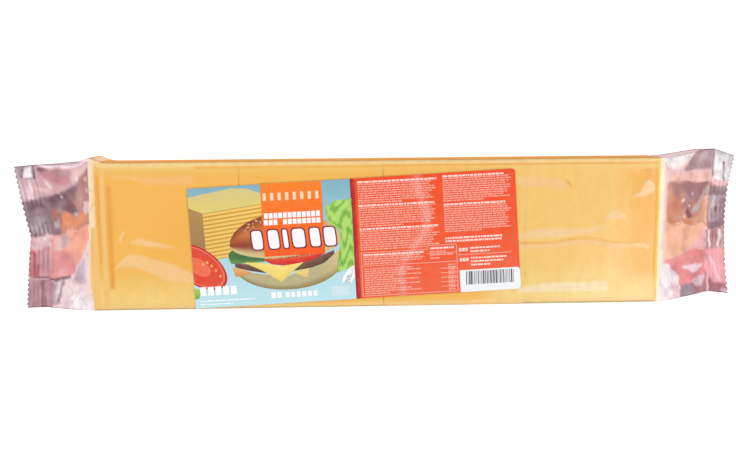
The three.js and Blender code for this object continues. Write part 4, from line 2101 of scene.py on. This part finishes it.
    def _big_blocks(self, piece: Piece) -> None:
        """Six large white leaning blocks with soft corners and a dark outline.

        Args:
            piece: the piece they are added to.
        """
        spans = ((-62.4, -56.2), (-52.6, -46.4), (-43.8, -41.0), (-38.2, -30.8),
                 (-27.6, -21.8), (-19.2, -12.4))
        outline, white = srgb(122, 26, 42), srgb(248, 244, 250)
        for left, right in spans:
            middle, half = (left + right) / 2.0, (right - left) / 2.0
            for grow, colour, layer in ((0.8, outline, Layer.OUTLINE), (0.0, white, Layer.LETTER)):
                wide, tall = half + grow, 5.6 + grow
                lower = self._cushion((middle, 3.3), (wide, tall), -1.0)
                upper = self._cushion((middle, 3.3), (wide, tall), 1.0)
                piece.add(self.place.patch(lower, upper, ramp(colour), layer.value))

    def _cushion(self, middle: Span, half: Span, side: float) -> Curve:
        """Lower or upper edge of a leaning block with soft corners.

        The edge is that of a superellipse of power 5, so it is nearly flat and bends
        down at both ends, and it leans back by 0.08 of its height.

        Args:
            middle: the block's middle.
            half: half its width and half its height.
            side: -1 for the lower edge and 1 for the upper.

        Returns:
            The edge, from left to right.
        """

        def read(share: Array) -> Array:
            """Places at shares of the way, closer together at the ends.

            Args:
                share: the shares.

            Returns:
                The places.
            """
            run = np.sin((share - 0.5) * math.pi)
            level = side * half[1] * (1.0 - np.abs(run) ** 5) ** 0.2
            return np.stack([middle[0] + half[0] * run - 0.08 * level, middle[1] + level], -1)

        return read

    def _small_print(self) -> None:
        """Dashes for all the small print, the table, the rules and the count."""
        piece = Piece("label_small_print")
        random = np.random.default_rng(41)
        pale, body = srgb(254, 214, 204), srgb(250, 168, 150)
        blocks = (
            TextBlock(2.2, 50, 35.4, 10), TextBlock(2.2, 50, 21.2, 10),
            TextBlock(2.2, 50, 7, 10, last=0.9),
            TextBlock(53.2, 94.4, 36.2, 12, pitch=1.34), TextBlock(53.4, 95, 19.2, 13, pitch=1.36),
            TextBlock(53.6, 92, -1, 2, pitch=1.9, height=1.1, heading=False, last=1),
            TextBlock(3.6, 41, -8.8, 5, pitch=1.36, ragged=3),
            TextBlock(3.8, 40, -17.4, 12, ragged=20, heading=False),
            TextBlock(54.6, 59.4, -17.4, 12, ragged=1, heading=False, last=1),
            TextBlock(44, 59.4, -6.6, 4, pitch=2, ragged=8, last=0.5),
            TextBlock(68.4, 90, -7.6, 2, pitch=2.1, height=1, heading=False, ragged=4),
            TextBlock(68.6, 92, -13.8, 3, pitch=2.1, height=1, heading=False, ragged=4),
        )
        dashes = np.concatenate([block.dashes(random) for block in blocks])
        tall = dashes[:, 3] - dashes[:, 2] > 0.9
        self._blocks(piece, dashes[tall], pale, Layer.MIDDLE)
        self._blocks(piece, dashes[~tall], body, Layer.MIDDLE)
        bold = np.concatenate([
            letters((61.6, 67, -10.4, -8.4), 3, 0.4), letters((61.8, 67.2, -16.6, -14.6), 3, 0.4)])
        self._blocks(piece, bold, pale, Layer.MIDDLE)
        self._blocks(piece, self._rules(), srgb(252, 196, 182), Layer.MIDDLE)
        white = srgb(246, 251, 253)
        marks = np.concatenate([
            letters((-95.4, -73.4, -28.8, -23.4), 5, 0.9), letters((-53, -46.8, -32.6, -28.8), 2, 0.5),
            letters((-44.4, -25.2, -32.6, -29.2), 6, 0.9)])
        self._blocks(piece, marks, white, Layer.LETTER)
        notes = TextBlock(-95.8, -62, -31, 2, pitch=2.1, height=0.8, heading=False, ragged=1)
        self._blocks(piece, notes.dashes(random), white, Layer.LETTER)
        self._finish(piece)

    def _rules(self) -> Array:
        """Thin rules of the table and between the notes beside it.

        Returns:
            Rows of left, right, bottom, top.
        """
        width = 0.28
        across = ((2.4, 42.4, -8.0), (42.4, 60.2, -5.8), (42.4, 60.2, -10.6), (2.4, 60.2, -16.2),
                  (2.4, 60.2, -34.6), (61, 93.4, -12.5))
        rows = tuple((50.0, 60.2, -20.2 - 2.76 * number) for number in range(5))
        upright = ((2.4, -34.6, -8.0), (60.2, -34.6, -5.8), (42.4, -8.0, -5.8))
        level = [(left, right, b - width / 2, b + width / 2) for left, right, b in (*across, *rows)]
        stands = [(a - width / 2, a + width / 2, low, high) for a, low, high in upright]
        return np.array(level + stands)

    def _code(self) -> None:
        """Upright bars of random width, which code nothing, and a small opening sign."""
        piece = Piece("label_code")
        random = np.random.default_rng(12)
        widths = random.choice([0.28, 0.28, 0.56, 0.84], 34)
        gaps = random.choice([0.3, 0.3, 0.6, 0.5], 34)
        ends = np.cumsum(widths + gaps)
        scale = 29.4 / ends[-1]
        starts = 65.3 + (ends - widths - gaps) * scale
        stops = starts + widths * scale
        flat = np.ones_like(starts)
        bars = np.stack([starts, stops, -31.2 * flat, self.code_top * flat], -1)
        self._blocks(piece, bars, srgb(52, 56, 66), Layer.MIDDLE)
        cold, white = ramp(srgb(206, 226, 232)), ramp(srgb(246, 250, 250))
        piece.add(self._box((-16.4, -5.4, -33.4, -27.2), cold, Layer.MIDDLE))
        self._patches(
            piece,
            (line((-10.4, -26.4), (-8.2, -24.2), (-5.6, -27.4)),
             line((-9.2, -22), (-6, -17.6), (-2, -14.8)), white, Layer.MIDDLE),
            (line((-5.6, -27.4), (-3.6, -24.6), (-2, -22.6)),
             line((-8.2, -24.2), (-5, -19), (-2, -14.8)), white, Layer.MIDDLE))
        self._finish(piece)

    def build(self) -> list[bpy.types.Object]:
        """Builds the sheet and all its print.

        Returns:
            The label's pieces, the sheet first.
        """
        for make in (self._sheet, self._fields, self._cheese_picture, self._salad_picture,
                     self._burger_picture, self._title, self._small_print, self._code):
            make()
        return self.pieces


# -------------------- studio


@dataclass
class Studio:
    """Floor, soft lights and the camera."""

    sizes: PackSizes
    camera_offset: tuple[float, float, float] = (-33.6, 95.2, 642.1)
    tilt: float = math.radians(-8.69)
    pan: float = math.radians(-2.49)
    roll: float = math.radians(-0.75)
    lens: float = 50.0
    floor_size: float = 6.0

    def camera(self) -> None:
        """Places the camera above the pack, a little to its +Y and -X sides."""
        data = bpy.data.cameras.new("camera")
        data.lens = self.lens
        data.sensor_width = 36.0
        data.clip_start = 0.01
        camera = bpy.data.objects.new("camera", data)
        turn = (Matrix.Rotation(self.tilt, 4, "X") @ Matrix.Rotation(self.pan, 4, "Y")
                @ Matrix.Rotation(self.roll, 4, "Z"))
        centre_x, centre_y = self.sizes.centre
        place = Vector(self.camera_offset) + Vector((centre_x, centre_y, 0.0))
        camera.matrix_world = Matrix.Translation(place * MM) @ turn
        bpy.context.scene.collection.objects.link(camera)
        bpy.context.scene.camera = camera

    def floor(self) -> None:
        """Lays a large pale floor under the pack."""
        half = self.floor_size / 2.0
        mesh = bpy.data.meshes.new("floor")
        corners = [(-half, -half, 0.0), (half, -half, 0.0), (half, half, 0.0), (-half, half, 0.0)]
        mesh.from_pydata(corners, [], [(0, 1, 2, 3)])
        mesh.materials.append(FloorFinish().material())
        floor = bpy.data.objects.new("floor", mesh)
        bpy.context.scene.collection.objects.link(floor)
        floor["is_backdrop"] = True

    def _area(self, name: str, place: Vector, size: Span, power: float) -> None:
        """Hangs a rectangular soft light that faces the pack.

        Args:
            name: the light's name.
            place: where it hangs, in metres.
            size: its sides, in metres.
            power: its power in watts.
        """
        data = bpy.data.lights.new(name, "AREA")
        data.shape = "RECTANGLE"
        data.size, data.size_y = size
        data.energy = power
        light = bpy.data.objects.new(name, data)
        light.location = place
        light.rotation_euler = (-place).to_track_quat("-Z", "Y").to_euler()
        bpy.context.scene.collection.objects.link(light)

    def lights(self) -> None:
        """Sets an even surround, which looks white itself, and two large soft lights."""
        world = bpy.data.worlds.new("surround")
        world.use_nodes = True
        tree = world.node_tree
        background = tree.nodes["Background"]
        background.inputs["Color"].default_value = (1.0, 1.0, 1.0, 1.0)
        seen = tree.nodes.new("ShaderNodeLightPath")
        strength = tree.nodes.new("ShaderNodeMapRange")
        strength.inputs["To Min"].default_value = 0.42
        strength.inputs["To Max"].default_value = 1.0
        tree.links.new(seen.outputs["Is Camera Ray"], strength.inputs["Value"])
        tree.links.new(strength.outputs["Result"], background.inputs["Strength"])
        bpy.context.scene.world = world
        self._area("key_light", Vector((0.75, -0.45, 1.1)), (0.8, 0.8), 8.8)
        self._area("fill_light", Vector((-0.8, 0.5, 1.1)), (0.8, 0.6), 9.0)

    def build(self) -> None:
        """Builds the whole studio."""
        self.floor()
        self.lights()
        self.camera()
        scene = bpy.context.scene
        scene.view_settings.view_transform = "Standard"
        scene.cycles.transparent_max_bounces = 28


def main() -> None:
    logging.basicConfig(level=logging.INFO, format="%(name)s: %(message)s")
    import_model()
    frame_low, frame_high = (np.array(corner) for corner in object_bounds())
    sizes = PackSizes(frame_low, frame_high)

    film = FilmWrap(sizes)
    wrap = film.build()
    contents = CheeseStacks(sizes).build()
    seam = BackSeam(film).build()
    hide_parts("sealed_pack")
    for stack in contents:
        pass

    middle = (sizes.centre[0] + sizes.label_offset[0], sizes.centre[1] + sizes.label_offset[1])
    place = LabelPlace(middle, sizes.label_turn, sizes.height + sizes.label_lift)
    label = Label(place).build()
    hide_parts("label")
    for part in label:
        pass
    for piece in (wrap, *contents, seam, *label):
        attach(piece, BODY)

    Studio(sizes).build()


if __name__ == "__main__":
    main()
